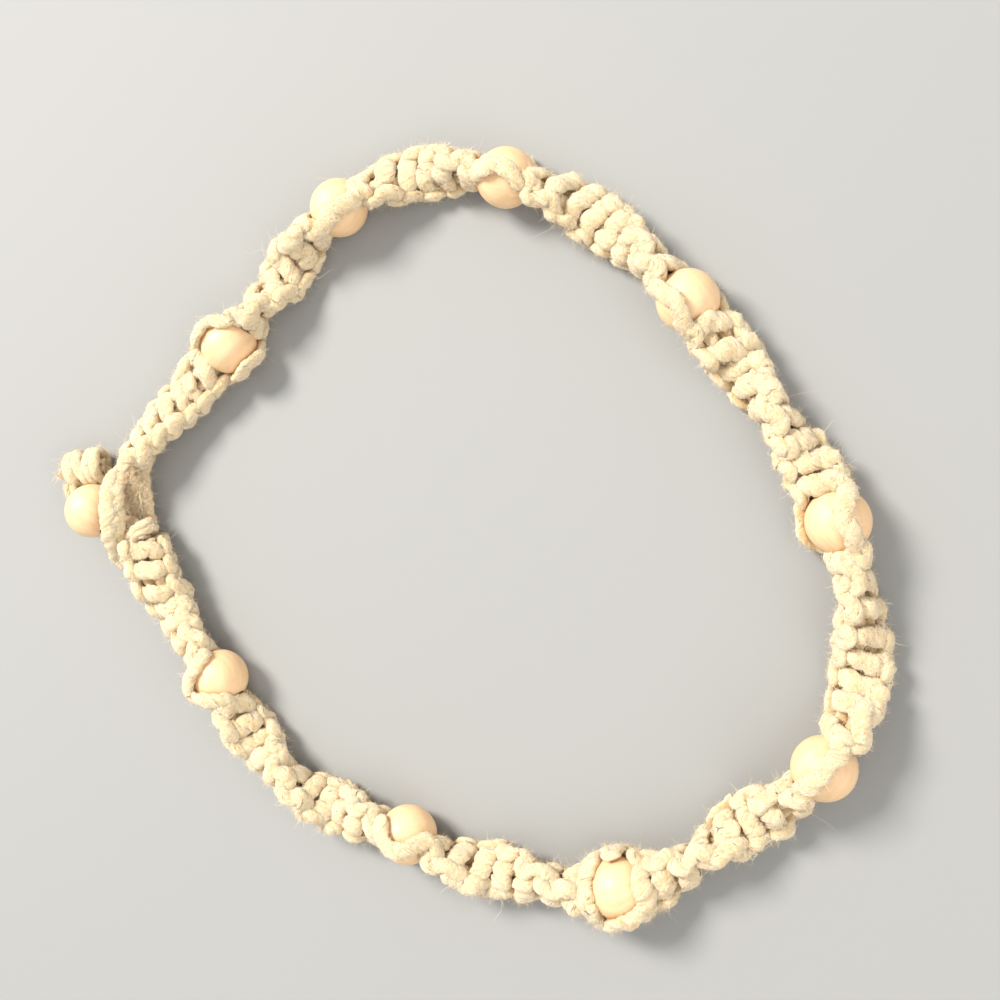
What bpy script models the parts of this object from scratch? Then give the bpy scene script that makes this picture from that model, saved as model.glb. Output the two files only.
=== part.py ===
"""Hemp bead necklace, lying closed on a flat surface.

A band of four hemp cords is worked as a spiral of half knots: two core cords run inside and two
working cords are knotted round them. Nine drilled wooden beads are strung on the core, with the
working cords passing round each bead. A doubled cord loop at the start of the band slips over a
tenth bead, the toggle, which a trimmed knot holds on the cord ends.

Metres, Z up. The necklace rests on z = 0 and its origin is under the middle of its bounding box.
"""

import math

import bmesh
import bpy
import numpy as np

# Driving sizes
BEAD_DIAMETER = 0.0100
BORE_DIAMETER = 0.0040
MOUTH_LAND = 0.00035      # flat ring round the mouth of each bore
CORD_DIAMETER = 0.0021
KNOT_PITCH = 0.0035       # length of band that one half knot takes
GAP = 0.0003              # between pieces that touch
KNOT_SLANT = 0.10         # share of the pitch by which each ridge leans across the band
RIDGE_PLACES = (0.26, 0.74)    # a knot's fullest part lies between these shares of its pitch

# Band sections as shares of the cord's diameter: half width, half thickness
BAND_SECTIONS = {
    "groove": (2.02, 1.28),
    "ridge": (2.36, 1.50),
    "face": (2.20, 1.40),
}

# Clasp loop, two cords side by side: half width and half thickness as shares of a cord
LOOP_SECTION = (0.82, 0.58)

# Facets
BEAD_SIDES = 14
BEAD_BELTS = 7
BAND_SIDES = 12
CORD_SIDES = 7
LOOP_SIDES = 10
LUMP_SIDES = 12
LUMP_RINGS = 7
SIDE_CORD_RINGS = 9
SHARP_EDGE = math.radians(50)

# The band's route seen from above, from the loop round to the toggle; a name marks a bead
BAND_ROUTE = [
    (-0.0700, 0.0070, "start"),
    (-0.0637, 0.0147, ""),
    (-0.0574, 0.0203, ""),
    (-0.0495, 0.0277, "bead_9"),
    (-0.0432, 0.0350, ""),
    (-0.0366, 0.0428, ""),
    (-0.0277, 0.0506, "bead_1"),
    (-0.0195, 0.0543, ""),
    (-0.0105, 0.0557, ""),
    (0.0029, 0.0531, "bead_2"),
    (0.0090, 0.0508, ""),
    (0.0153, 0.0473, ""),
    (0.0223, 0.0421, ""),
    (0.0330, 0.0312, "bead_3"),
    (0.0376, 0.0253, ""),
    (0.0421, 0.0190, ""),
    (0.0465, 0.0127, ""),
    (0.0507, 0.0062, ""),
    (0.0556, -0.0032, "bead_4"),
    (0.0577, -0.0113, ""),
    (0.0589, -0.0185, ""),
    (0.0589, -0.0259, ""),
    (0.0572, -0.0333, ""),
    (0.0536, -0.0405, "bead_5"),
    (0.0489, -0.0453, ""),
    (0.0429, -0.0496, ""),
    (0.0366, -0.0542, ""),
    (0.0302, -0.0588, ""),
    (0.0218, -0.0621, "bead_6"),
    (0.0133, -0.0626, ""),
    (0.0050, -0.0621, ""),
    (-0.0032, -0.0614, ""),
    (-0.0093, -0.0597, ""),
    (-0.0148, -0.0568, "bead_7"),
    (-0.0215, -0.0553, ""),
    (-0.0290, -0.0536, ""),
    (-0.0362, -0.0502, ""),
    (-0.0420, -0.0455, ""),
    (-0.0467, -0.0400, ""),
    (-0.0513, -0.0318, "bead_8"),
    (-0.0568, -0.0261, ""),
    (-0.0612, -0.0203, ""),
    (-0.0642, -0.0143, ""),
    (-0.0668, -0.0075, "end"),
]

# How the working cords lie at each bead: turn of each cord about the string, in degrees from
# the outer side upwards over the top
BEAD_CORDS = {
    "bead_9": (45, 170),
    "bead_1": (115, 325),
    "bead_2": (95, 318),
    "bead_3": (103, 311),
    "bead_4": (192, 68),
    "bead_5": (93, 313),
    "bead_6": (165, 345),
    "bead_7": (79, 328),
    "bead_8": (82, 330),
}

# Turn of the band's wide side at the start and the end of each stretch, in degrees; the spiral
# is right-handed, so the turn grows along the string
STRETCH_TURNS = [
    (-75, 17),
    (60, 290),
    (280, 455),
    (465, 650),
    (658, 912),
    (970, 1166),
    (1175, 1430),
    (1480, 1730),
    (1740, 2065),
    (2085, 2190),
]

# Clasp loop, from the left of the band's first face round to the right of it: place, and tilt
# of the pair of cords in degrees from lying flat
LOOP_ROUTE = [
    (-0.0717, 0.0062, 0.0044, 0),
    (-0.0726, 0.0030, 0.0074, 50),
    (-0.0720, -0.0010, 0.0094, 75),
    (-0.0719, -0.0050, 0.0092, 75),
    (-0.0731, -0.0090, 0.0058, 45),
    (-0.0731, -0.0112, 0.0023, 10),
    (-0.0712, -0.0109, 0.0015, 0),
    (-0.0696, -0.0085, 0.0014, 0),
    (-0.0686, -0.0050, 0.0014, 0),
    (-0.0682, -0.0010, 0.0016, 0),
    (-0.0682, 0.0028, 0.0024, 0),
    (-0.0687, 0.0060, 0.0034, 0),
]

# Cord ends, from the band's last face through the loop to the toggle bead
TOGGLE_CENTRE = (-0.0785, -0.0020)
TOGGLE_HEADING = 145.0    # direction in which the ends leave the toggle, degrees from +X
TOGGLE_APPROACH = [
    (-0.0686, -0.0052, 0.0055),
    (-0.0710, -0.0045, 0.0045),
]
ENDS_RADIUS = 0.85        # the four ends before the toggle, as a share of a cord's diameter

# Trimmed knot beyond the toggle, resting on the surface in two lumps: place from the toggle's
# centre as shares of a bead's radius, and radii along X, Y and Z as shares of a cord's diameter
KNOT_LUMPS = [
    ((-1.14, 1.52), (1.43, 1.67, 1.52)),
    ((0.0, 1.70), (1.90, 1.29, 1.43)),
]
LUMP_POLE = 0.12 * math.pi    # angle of the small flat at each pole of a lump

HEMP_COLOUR = (0.80, 0.66, 0.45, 1.0)
WOOD_COLOUR = (0.86, 0.66, 0.44, 1.0)

# Sizes that follow from the ones above
BEAD_RADIUS = BEAD_DIAMETER / 2
CORD_RADIUS = CORD_DIAMETER / 2
MOUTH_ANGLE = math.asin((BORE_DIAMETER / 2 + MOUTH_LAND) / BEAD_RADIUS)
BELT_HALF_ANGLE = (math.pi / 2 - MOUTH_ANGLE) / BEAD_BELTS
BEAD_CORNER = BEAD_RADIUS / math.cos(math.pi / BEAD_SIDES) / math.cos(BELT_HALF_ANGLE)
MOUTH_DISTANCE = BEAD_CORNER * math.cos(MOUTH_ANGLE)
FACE_DISTANCE = MOUTH_DISTANCE + GAP
CORE_RADIUS = BORE_DIAMETER / 2 * math.cos(math.pi / BEAD_SIDES) - GAP
CORD_ORBIT = BEAD_CORNER + GAP + CORD_RADIUS
LOOP_THICKNESS = 2 * LOOP_SECTION[1] * CORD_DIAMETER

FINE_STEP = 0.0001
ENDS_STEP = 0.75 * CORD_DIAMETER                # between the rings of the cord ends
HOLD_LENGTH = BEAD_RADIUS + CORD_DIAMETER       # band kept level at a bead's height
BLEND_LENGTH = 3 * CORD_DIAMETER                # from there down to the surface
ROOT_DEPTH = CORD_RADIUS                        # how deep a cord is rooted in its stretch
BEAD_NAMES = [name for *_, name in BAND_ROUTE if name.startswith("bead")]


def clear_scene():
    for item in list(bpy.data.objects):
        bpy.data.objects.remove(item, do_unlink=True)


def smooth_curve(points, step=FINE_STEP):
    """Closely spaced points on the natural cubic curve through the chosen points, with the
    distance along the curve to each, and to each chosen point."""
    points = np.array(points, float)
    knots = np.concatenate([[0], np.cumsum(np.linalg.norm(np.diff(points, axis=0), axis=1))])
    spans = np.diff(knots)
    count = len(points)
    matrix = np.eye(count)
    bend = np.zeros_like(points)
    for i in range(1, count - 1):
        matrix[i, i - 1:i + 2] = spans[i - 1], 2 * (spans[i - 1] + spans[i]), spans[i]
        bend[i] = 6 * ((points[i + 1] - points[i]) / spans[i] - (points[i] - points[i - 1]) / spans[i - 1])
    bend = np.linalg.solve(matrix, bend)
    places = np.linspace(0, knots[-1], int(knots[-1] / step) + 1)
    left = np.clip(np.searchsorted(knots, places, side="right") - 1, 0, count - 2)
    span = spans[left][:, None]
    after = ((places - knots[left])[:, None]) / span
    before = 1 - after
    curve = (before * points[left] + after * points[left + 1]
             + span**2 / 6 * ((before**3 - before) * bend[left] + (after**3 - after) * bend[left + 1]))
    lengths = np.concatenate([[0], np.cumsum(np.linalg.norm(np.diff(curve, axis=0), axis=1))])
    return curve, lengths, np.interp(knots, places, lengths)


def points_along(curve, lengths, places):
    """Points at distances along a curve."""
    return np.stack([np.interp(places, lengths, curve[:, k]) for k in range(3)], -1)


def resting_height(turn):
    """Height of the band's middle above the surface that it touches, at a turn in degrees."""
    half_width, half_thickness = (share * CORD_DIAMETER for share in BAND_SECTIONS["ridge"])
    angle = np.radians(turn)
    return np.hypot(half_width * np.sin(angle), half_thickness * np.cos(angle))


class Band:
    """The string's middle line with its bead places, its turn and its height."""

    def __init__(self):
        flat, self.lengths, places = smooth_curve([(x, y) for x, y, _ in BAND_ROUTE])
        self.bead_places = {name: place for (*_, name), place in zip(BAND_ROUTE, places)
                            if name.startswith("bead")}
        cuts = [0.0]
        for name in BEAD_NAMES:
            place = self.bead_places[name]
            cuts += [place - FACE_DISTANCE, place + FACE_DISTANCE]
        cuts.append(self.lengths[-1])
        self.stretches = list(zip(cuts[0::2], cuts[1::2]))
        self.turns = np.interp(self.lengths, cuts, [turn for pair in STRETCH_TURNS for turn in pair])
        heights = resting_height(self.turns)
        stops = [(self.bead_places[name], bead_height(name)) for name in BEAD_NAMES]
        stops.append((self.lengths[-1], heights[-1] + LOOP_THICKNESS + 2 * GAP))
        resting = heights.copy()
        for place, height in stops:
            distance = np.abs(self.lengths - place)
            share = np.clip((distance - HOLD_LENGTH) / BLEND_LENGTH, 0, 1)
            share = share * share * (3 - 2 * share)
            heights = heights + (1 - share) * (height - resting)
        self.curve = np.column_stack([flat, heights])

    def frame(self, places):
        """Middle, heading, outer side and upper side at distances along the string."""
        places = np.asarray(places, float)
        middle = points_along(self.curve, self.lengths, places)
        beyond = points_along(self.curve, self.lengths, places + FINE_STEP)
        heading = beyond - points_along(self.curve, self.lengths, places - FINE_STEP)
        heading /= np.linalg.norm(heading, axis=-1, keepdims=True)
        outer = np.stack([-heading[..., 1], heading[..., 0], np.zeros(places.shape)], -1)
        outer /= np.linalg.norm(outer, axis=-1, keepdims=True)
        return middle, heading, outer, np.cross(heading, outer)

    def direction(self, places, degrees):
        """Unit vector across the string at a turn in degrees from the outer side upwards."""
        _, _, outer, upper = self.frame(places)
        angle = np.radians(degrees)[..., None]
        return np.cos(angle) * outer + np.sin(angle) * upper


def bead_height(name):
    """A bead rests on the surface, or on the working cord that passes under it."""
    lowest = max(-math.sin(math.radians(turn)) for turn in BEAD_CORDS[name])
    return max(BEAD_RADIUS, CORD_ORBIT * lowest + CORD_RADIUS)


def material(name, colour, roughness):
    finish = bpy.data.materials.new(name)
    finish.use_nodes = True
    shader = finish.node_tree.nodes["Principled BSDF"]
    shader.inputs["Base Color"].default_value = colour
    shader.inputs["Roughness"].default_value = roughness
    shader.inputs["Metallic"].default_value = 0.0
    finish.diffuse_color = colour
    return finish


def closed_mesh(name, points, faces, finish):
    """Mesh with its faces turned outwards, smooth but for its sharp edges."""
    mesh = bpy.data.meshes.new(name)
    mesh.from_pydata(points, [], faces)
    shape = bmesh.new()
    shape.from_mesh(mesh)
    bmesh.ops.recalc_face_normals(shape, faces=shape.faces)
    shape.to_mesh(mesh)
    shape.free()
    mesh.materials.append(finish)
    mesh.shade_smooth()
    mesh.set_sharp_from_angle(angle=SHARP_EDGE)
    return mesh


def add_object(name, mesh, parent):
    item = bpy.data.objects.new(name, mesh)
    bpy.context.scene.collection.objects.link(item)
    item.parent = parent
    return item


def grid_faces(rings, sides, offset=0):
    """Four-sided faces between neighbouring rings of a tube, and a face on each end."""
    faces = []
    for i in range(rings - 1):
        for j in range(sides):
            k = (j + 1) % sides
            faces.append([offset + i * sides + j, offset + i * sides + k,
                          offset + (i + 1) * sides + k, offset + (i + 1) * sides + j])
    faces.append([offset + j for j in reversed(range(sides))])
    faces.append([offset + (rings - 1) * sides + j for j in range(sides)])
    return faces


def add_tubes(name, tubes, finish, parent):
    """Object made of closed tubes, each given as an array of rings of points."""
    points = []
    faces = []
    for tube in tubes:
        faces += grid_faces(tube.shape[0], tube.shape[1], len(points))
        points += [tuple(point) for point in tube.reshape(-1, 3)]
    return add_object(name, closed_mesh(name, points, faces, finish), parent)


def fuse(item, tubes, finish, parent):
    """Unites an object with tubes that are rooted in it."""
    guide = add_tubes(item.name + "_guide", tubes, finish, parent)
    guide.hide_render = True
    guide.display_type = "WIRE"
    union = item.modifiers.new("union", "BOOLEAN")
    union.operation = "UNION"
    union.solver = "EXACT"
    union.object = guide


def flatten_ring(ring, point, normal):
    """Slides a ring's points along the normal onto the plane through a point."""
    return ring - ((ring - point) @ normal)[:, None] * normal


def stretch_tube(band, start, end, before, after):
    """Rings of one knotted stretch, with a ridge for each half knot; its faces are square to
    the beads before and after it, where there are such beads."""
    knots = max(1, round((end - start) / KNOT_PITCH))
    pitch = (end - start) / knots
    rows = [(0.0, "face")]
    for knot in range(knots):
        rows += [(knot + share, "ridge") for share in RIDGE_PLACES]
        rows.append((knot + 1.0, "groove"))
    rows[-1] = (float(knots), "face")
    phi = np.linspace(0, 2 * math.pi, BAND_SIDES, endpoint=False)
    places = start + np.array([row[0] for row in rows])[:, None] * pitch
    lean = KNOT_SLANT * pitch * np.sin(2 * phi) * np.ones_like(places)
    lean[[0, -1]] = 0
    places = places + lean
    widths = np.array([BAND_SECTIONS[row[1]][0] for row in rows])[:, None] * CORD_DIAMETER
    thicknesses = np.array([BAND_SECTIONS[row[1]][1] for row in rows])[:, None] * CORD_DIAMETER
    turns = np.interp(places, band.lengths, band.turns)
    middle = band.frame(places)[0]
    across = band.direction(places, turns)
    through = band.direction(places, turns + 90)
    rings = (middle + (widths * np.cos(phi))[..., None] * across
             + (thicknesses * np.sin(phi))[..., None] * through)
    for ring, bead, side in ((0, before, 1), (-1, after, -1)):
        if bead:
            centre, heading, _, _ = band.frame(band.bead_places[bead])
            rings[ring] = flatten_ring(rings[ring], centre + side * FACE_DISTANCE * heading, heading)
    return rings


def core_tube(band, place, end_distance):
    """Core cords from inside one stretch through a bead to the next stretch's face."""
    phi = np.linspace(0, 2 * math.pi, CORD_SIDES, endpoint=False)
    middle, heading, outer, upper = band.frame(place)
    ring = CORE_RADIUS * (np.cos(phi)[:, None] * outer + np.sin(phi)[:, None] * upper)
    distances = np.array([-FACE_DISTANCE - ROOT_DEPTH, end_distance])
    return middle + distances[:, None, None] * heading + ring


def side_cord_tube(band, place, degrees, end_distance):
    """A working cord on its arc round a bead, cut flat short of the next stretch's face."""
    phi = np.linspace(0, 2 * math.pi, CORD_SIDES, endpoint=False)
    middle, heading, _, _ = band.frame(place)
    away = band.direction(place, np.array(degrees, float))
    start_angle = math.acos((FACE_DISTANCE + ROOT_DEPTH) / CORD_ORBIT)
    end_angle = math.pi - math.acos(end_distance / CORD_ORBIT)
    rows = []
    for angle in np.linspace(start_angle, end_angle, SIDE_CORD_RINGS):
        spoke = -math.cos(angle) * heading + math.sin(angle) * away
        side = np.cross(heading, away)
        rows.append(middle + CORD_ORBIT * spoke
                    + CORD_RADIUS * (np.cos(phi)[:, None] * spoke + np.sin(phi)[:, None] * side))
    rows = np.array(rows)
    beyond = (rows[-1] - middle) @ heading - end_distance
    along = math.sin(end_angle) * heading - math.cos(end_angle) * -away
    along = along / (along @ heading)
    rows[-1] -= beyond[:, None] * along
    return rows


def build_beads(band, finish, parent):
    """Drilled beads that share one turned mesh; the middle of a facet faces straight down."""
    polar = np.linspace(MOUTH_ANGLE, math.pi - MOUTH_ANGLE, BEAD_BELTS + 1)
    profile = [(-BEAD_CORNER * math.cos(a), BEAD_CORNER * math.sin(a)) for a in polar]
    profile += [(MOUTH_DISTANCE, BORE_DIAMETER / 2), (-MOUTH_DISTANCE, BORE_DIAMETER / 2)]
    rows = len(profile)
    points = []
    faces = []
    for side in range(BEAD_SIDES):
        angle = -math.pi / 2 + (side + 0.5) * 2 * math.pi / BEAD_SIDES
        points += [(x, r * math.cos(angle), r * math.sin(angle)) for x, r in profile]
        beyond = (side + 1) % BEAD_SIDES
        for row in range(rows):
            after = (row + 1) % rows
            faces.append([side * rows + row, beyond * rows + row, beyond * rows + after, side * rows + after])
    mesh = closed_mesh("bead", points, faces, finish)
    spots = []
    for name in BEAD_NAMES:
        middle, heading, _, _ = band.frame(band.bead_places[name])
        spots.append((name, middle, math.atan2(heading[1], heading[0])))
    spots.append(("toggle_bead", (*TOGGLE_CENTRE, BEAD_RADIUS), math.radians(TOGGLE_HEADING)))
    for name, middle, heading in spots:
        bead = add_object(name, mesh, parent)
        bead.location = middle
        bead.rotation_euler = (0, 0, heading)


def build_stretches(band, finish, parent):
    """The knotted stretches, all but the last with the cords that pass the next bead."""
    befores = [None, *BEAD_NAMES]
    afters = [*BEAD_NAMES, None]
    for number, ((start, end), before, bead) in enumerate(zip(band.stretches, befores, afters), 1):
        name = f"knots_{number}"
        tube = stretch_tube(band, start, end, before, bead)
        item = add_tubes(name, [tube], finish, parent)
        if bead is None:
            continue
        place = band.bead_places[bead]
        reach = FACE_DISTANCE - GAP
        tubes = [core_tube(band, place, reach)]
        tubes += [side_cord_tube(band, place, turn, reach) for turn in BEAD_CORDS[bead]]
        fuse(item, tubes, finish, parent)


def swept_tube(route, half_widths, half_thicknesses, tilts, sides, step):
    """Tube of oval section along a route of chosen points; tilts turn the section's width
    from level, in degrees."""
    curve, lengths, places = smooth_curve(route)
    rings = max(2, round(lengths[-1] / step))
    stations = np.linspace(0, lengths[-1], rings + 1)
    middle = points_along(curve, lengths, stations)
    heading = np.gradient(middle, axis=0)
    heading /= np.linalg.norm(heading, axis=1, keepdims=True)
    level = np.column_stack([-heading[:, 1], heading[:, 0], np.zeros(len(heading))])
    level /= np.linalg.norm(level, axis=1, keepdims=True)
    upper = np.cross(heading, level)
    tilt = np.radians(np.interp(stations, places, tilts))[:, None]
    across = np.cos(tilt) * level + np.sin(tilt) * upper
    through = np.cross(heading, across)
    phi = np.linspace(0, 2 * math.pi, sides, endpoint=False)
    wide = np.interp(stations, places, half_widths)[:, None] * np.cos(phi)
    thick = np.interp(stations, places, half_thicknesses)[:, None] * np.sin(phi)
    return middle[:, None] + wide[..., None] * across[:, None] + thick[..., None] * through[:, None]


def build_loop(band, finish, parent):
    route = [row[:3] for row in LOOP_ROUTE]
    tilts = [row[3] for row in LOOP_ROUTE]
    wide = [LOOP_SECTION[0] * CORD_DIAMETER] * len(route)
    thick = [LOOP_SECTION[1] * CORD_DIAMETER] * len(route)
    tube = swept_tube(route, wide, thick, tilts, LOOP_SIDES, CORD_DIAMETER)
    middle, heading, _, _ = band.frame(0.0)
    for end in (0, -1):
        tube[end] = flatten_ring(tube[end], middle - GAP * heading, heading)
    add_tubes("clasp_loop", [tube], finish, parent)


def lump_tube(centre, radii):
    """Oval lump with a small flat at each pole."""
    rows = []
    phi = np.linspace(0, 2 * math.pi, LUMP_SIDES, endpoint=False)
    for angle in np.linspace(LUMP_POLE, math.pi - LUMP_POLE, LUMP_RINGS):
        ring = np.column_stack([np.sin(angle) * np.cos(phi), -np.cos(angle) * np.ones(LUMP_SIDES),
                                np.sin(angle) * np.sin(phi)])
        rows.append(centre + ring * radii)
    return np.array(rows)


def knot_lump(place, shares):
    """Centre and radii of one lump of the trimmed knot."""
    radii = np.array(shares) * CORD_DIAMETER
    x, y = np.array(TOGGLE_CENTRE) + np.array(place) * BEAD_RADIUS
    return np.array([x, y, radii[2]]), radii


def build_toggle_cord(band, finish, parent):
    last = band.lengths[-1]
    middle, heading, _, _ = band.frame(last)
    axis = np.array([math.cos(math.radians(TOGGLE_HEADING)), math.sin(math.radians(TOGGLE_HEADING)), 0.0])
    centre = np.array([*TOGGLE_CENTRE, BEAD_RADIUS])
    lumps = [knot_lump(*row) for row in KNOT_LUMPS]
    lump = lumps[0][0]
    route = [middle + GAP * heading, *[np.array(point) for point in TOGGLE_APPROACH],
             centre - FACE_DISTANCE * axis, centre, centre + FACE_DISTANCE * axis,
             (centre + FACE_DISTANCE * axis + lump) / 2 + CORD_RADIUS * axis, lump]
    bundle = ENDS_RADIUS * CORD_DIAMETER
    loose = 1 + len(TOGGLE_APPROACH)
    radii = [bundle] * loose + [CORE_RADIUS] * (len(route) - loose)
    tube = swept_tube(route, radii, radii, [0] * len(route), CORD_SIDES, ENDS_STEP)
    tube[0] = flatten_ring(tube[0], middle + GAP * heading, heading)
    item = add_tubes("toggle_cord", [tube], finish, parent)
    for place, radii in lumps:
        fuse(item, [lump_tube(place, radii)], finish, parent)


def centre_on_origin(parent):
    """Moves the whole necklace so that its box stands centred on the origin."""
    bpy.context.view_layer.update()
    graph = bpy.context.evaluated_depsgraph_get()
    corners = []
    for item in bpy.context.scene.objects:
        if item.type != "MESH" or item.hide_render:
            continue
        shape = item.evaluated_get(graph)
        mesh = shape.to_mesh()
        corners += [item.matrix_world @ vertex.co for vertex in mesh.vertices]
        shape.to_mesh_clear()
    corners = np.array(corners)
    low = corners.min(axis=0)
    high = corners.max(axis=0)
    parent.location = (-(low[0] + high[0]) / 2, -(low[1] + high[1]) / 2, -low[2])
    bpy.context.view_layer.update()


def main():
    clear_scene()
    parent = bpy.data.objects.new("necklace", None)
    bpy.context.scene.collection.objects.link(parent)
    hemp = material("hemp", HEMP_COLOUR, 0.95)
    wood = material("wood", WOOD_COLOUR, 0.45)
    band = Band()
    build_beads(band, wood, parent)
    build_stretches(band, hemp, parent)
    build_loop(band, hemp, parent)
    build_toggle_cord(band, hemp, parent)
    centre_on_origin(parent)


main()
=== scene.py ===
"""Looks of a hemp bead necklace lying closed on a pale surface.

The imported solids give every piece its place. Each knotted stretch is shown as its four cords: two
core cords and two working cords tied round them in half knots. The beads are turned wood with a
drilled bore, and loose fibres stand off the cords. Metres, Z up.
"""

import logging
import math
from dataclasses import dataclass, field
from enum import Enum

import bpy
import numpy as np
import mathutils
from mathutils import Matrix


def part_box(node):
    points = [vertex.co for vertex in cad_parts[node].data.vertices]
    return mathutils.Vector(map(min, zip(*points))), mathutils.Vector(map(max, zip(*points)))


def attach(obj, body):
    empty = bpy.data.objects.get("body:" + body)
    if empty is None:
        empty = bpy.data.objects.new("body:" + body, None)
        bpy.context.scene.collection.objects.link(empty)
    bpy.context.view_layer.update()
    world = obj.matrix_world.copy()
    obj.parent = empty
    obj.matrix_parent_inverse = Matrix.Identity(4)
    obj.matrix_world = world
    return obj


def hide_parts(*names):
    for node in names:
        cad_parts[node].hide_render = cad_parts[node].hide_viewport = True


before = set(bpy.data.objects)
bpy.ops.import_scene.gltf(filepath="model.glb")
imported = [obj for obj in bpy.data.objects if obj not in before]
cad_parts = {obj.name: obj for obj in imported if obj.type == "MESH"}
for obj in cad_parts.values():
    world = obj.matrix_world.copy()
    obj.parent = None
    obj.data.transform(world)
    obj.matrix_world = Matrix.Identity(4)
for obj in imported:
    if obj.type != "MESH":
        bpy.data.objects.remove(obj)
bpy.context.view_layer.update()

Array = np.ndarray
Vector = tuple[float, float, float]
LOG = logging.getLogger("necklace")

# Sizes shared by the pieces
BEAD_RADIUS = 0.0050
BORE_RADIUS = 0.0020
BEAD_FACE = 0.00488       # from a bead's centre to the solids of the knots on either side
KNOT_FACE = 0.0040        # from a bead's centre to where the shown knots start
COVERED_BEAD = "bead_6"   # the bead that the knots cover most
COVERED_FACE = 0.0010     # in place of KNOT_FACE at that bead
CORD = 0.0021             # diameter of a cord that nothing presses
FLOOR_GAP = 0.00003       # kept between a cord or fibre and the surface
MILLIMETRES = 1000        # in a metre; patterns are counted in millimetres

# The string's route seen from above, from the loop round to the toggle; a name marks a bead
STRING_ROUTE = [
    (-0.0700, 0.0070, "start"),
    (-0.0637, 0.0147, ""),
    (-0.0574, 0.0203, ""),
    (-0.0495, 0.0277, "bead_9"),
    (-0.0432, 0.0350, ""),
    (-0.0366, 0.0428, ""),
    (-0.0277, 0.0506, "bead_1"),
    (-0.0195, 0.0543, ""),
    (-0.0105, 0.0557, ""),
    (0.0029, 0.0531, "bead_2"),
    (0.0090, 0.0508, ""),
    (0.0153, 0.0473, ""),
    (0.0223, 0.0421, ""),
    (0.0330, 0.0312, "bead_3"),
    (0.0376, 0.0253, ""),
    (0.0421, 0.0190, ""),
    (0.0465, 0.0127, ""),
    (0.0507, 0.0062, ""),
    (0.0556, -0.0032, "bead_4"),
    (0.0577, -0.0113, ""),
    (0.0589, -0.0185, ""),
    (0.0589, -0.0259, ""),
    (0.0572, -0.0333, ""),
    (0.0536, -0.0405, "bead_5"),
    (0.0489, -0.0453, ""),
    (0.0429, -0.0496, ""),
    (0.0366, -0.0542, ""),
    (0.0302, -0.0588, ""),
    (0.0218, -0.0621, "bead_6"),
    (0.0133, -0.0626, ""),
    (0.0050, -0.0621, ""),
    (-0.0032, -0.0614, ""),
    (-0.0093, -0.0597, ""),
    (-0.0148, -0.0568, "bead_7"),
    (-0.0215, -0.0553, ""),
    (-0.0290, -0.0536, ""),
    (-0.0362, -0.0502, ""),
    (-0.0420, -0.0455, ""),
    (-0.0467, -0.0400, ""),
    (-0.0513, -0.0318, "bead_8"),
    (-0.0568, -0.0261, ""),
    (-0.0612, -0.0203, ""),
    (-0.0642, -0.0143, ""),
    (-0.0668, -0.0075, "end"),
]

# Turn of the two working cords at each bead, in degrees from the outer side upwards
BEAD_CORDS = {
    "bead_9": (45, 170),
    "bead_1": (115, 325),
    "bead_2": (84, 318),
    "bead_3": (103, 311),
    "bead_4": (192, 78),
    "bead_5": (93, 313),
    "bead_6": (165, 40),
    "bead_7": (79, 328),
    "bead_8": (38, 330),
}

# Half knots in each stretch
STRETCH_KNOTS = [7, 6, 6, 8, 9, 8, 8, 8, 11, 7]

# Turn of the knots' wide side at the start and the end of each stretch, in degrees
STRETCH_TURNS = [
    (-75, 17),
    (60, 290),
    (280, 455),
    (440, 650),
    (658, 912),
    (945, 1148),
    (1160, 1462),
    (1450, 1730),
    (1712, 2065),
    (2085, 2190),
]

# One working cord in one half knot, from where it comes in at an edge to the far edge: place
# across and through the string as shares of a cord, along it as a share of the pitch, and half
# its width as a share of a cord
HALF_KNOT = np.array([
    (1.05, -0.62, -0.20, 0.76),
    (1.27, 0.00, -0.17, 0.70),
    (1.38, 0.64, -0.03, 0.68),
    (1.52, 0.88, 0.26, 0.72),
    (1.68, 0.50, 0.50, 0.74),
    (1.78, 0.00, 0.71, 0.72),
    (1.76, -0.17, 0.92, 0.70),
    (1.58, 0.17, 1.16, 0.72),
    (1.16, 0.66, 1.20, 0.80),
    (0.57, 0.92, 1.11, 0.86),
    (0.00, 0.99, 1.02, 0.90),
    (-0.57, 0.92, 0.92, 0.86),
])
KNOT_LEAD = 0.53          # the row's places along count from this share of a pitch before a knot
EDGE_ROW = 4              # row of HALF_KNOT at which a cord enters or leaves a stretch

# Clasp loop, from the left of the first knot round to its right: place, tilt of the pair in
# degrees, and half its spread and half a cord's width as shares of a cord
LOOP_ROUTE = [
    (-0.0698, 0.0088, 0.0038, 0, 0.35, 0.48),
    (-0.0717, 0.0062, 0.0044, 0, 0.40, 0.52),
    (-0.0722, 0.0030, 0.0072, -30, 0.30, 0.70),
    (-0.0714, -0.0010, 0.0090, -45, 0.22, 0.86),
    (-0.0713, -0.0050, 0.0088, -45, 0.22, 0.86),
    (-0.0725, -0.0090, 0.0058, -35, 0.28, 0.74),
    (-0.0728, -0.0112, 0.0026, -5, 0.42, 0.56),
    (-0.0712, -0.0109, 0.0016, 0, 0.50, 0.60),
    (-0.0702, -0.0085, 0.0018, 0, 0.66, 0.70),
    (-0.0702, -0.0050, 0.0020, 0, 0.80, 0.84),
    (-0.0703, -0.0010, 0.0028, 0, 0.80, 0.92),
    (-0.0702, 0.0028, 0.0035, 0, 0.72, 0.88),
    (-0.0690, 0.0060, 0.0038, 0, 0.48, 0.62),
    (-0.0676, 0.0090, 0.0036, 0, 0.40, 0.50),
]

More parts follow.
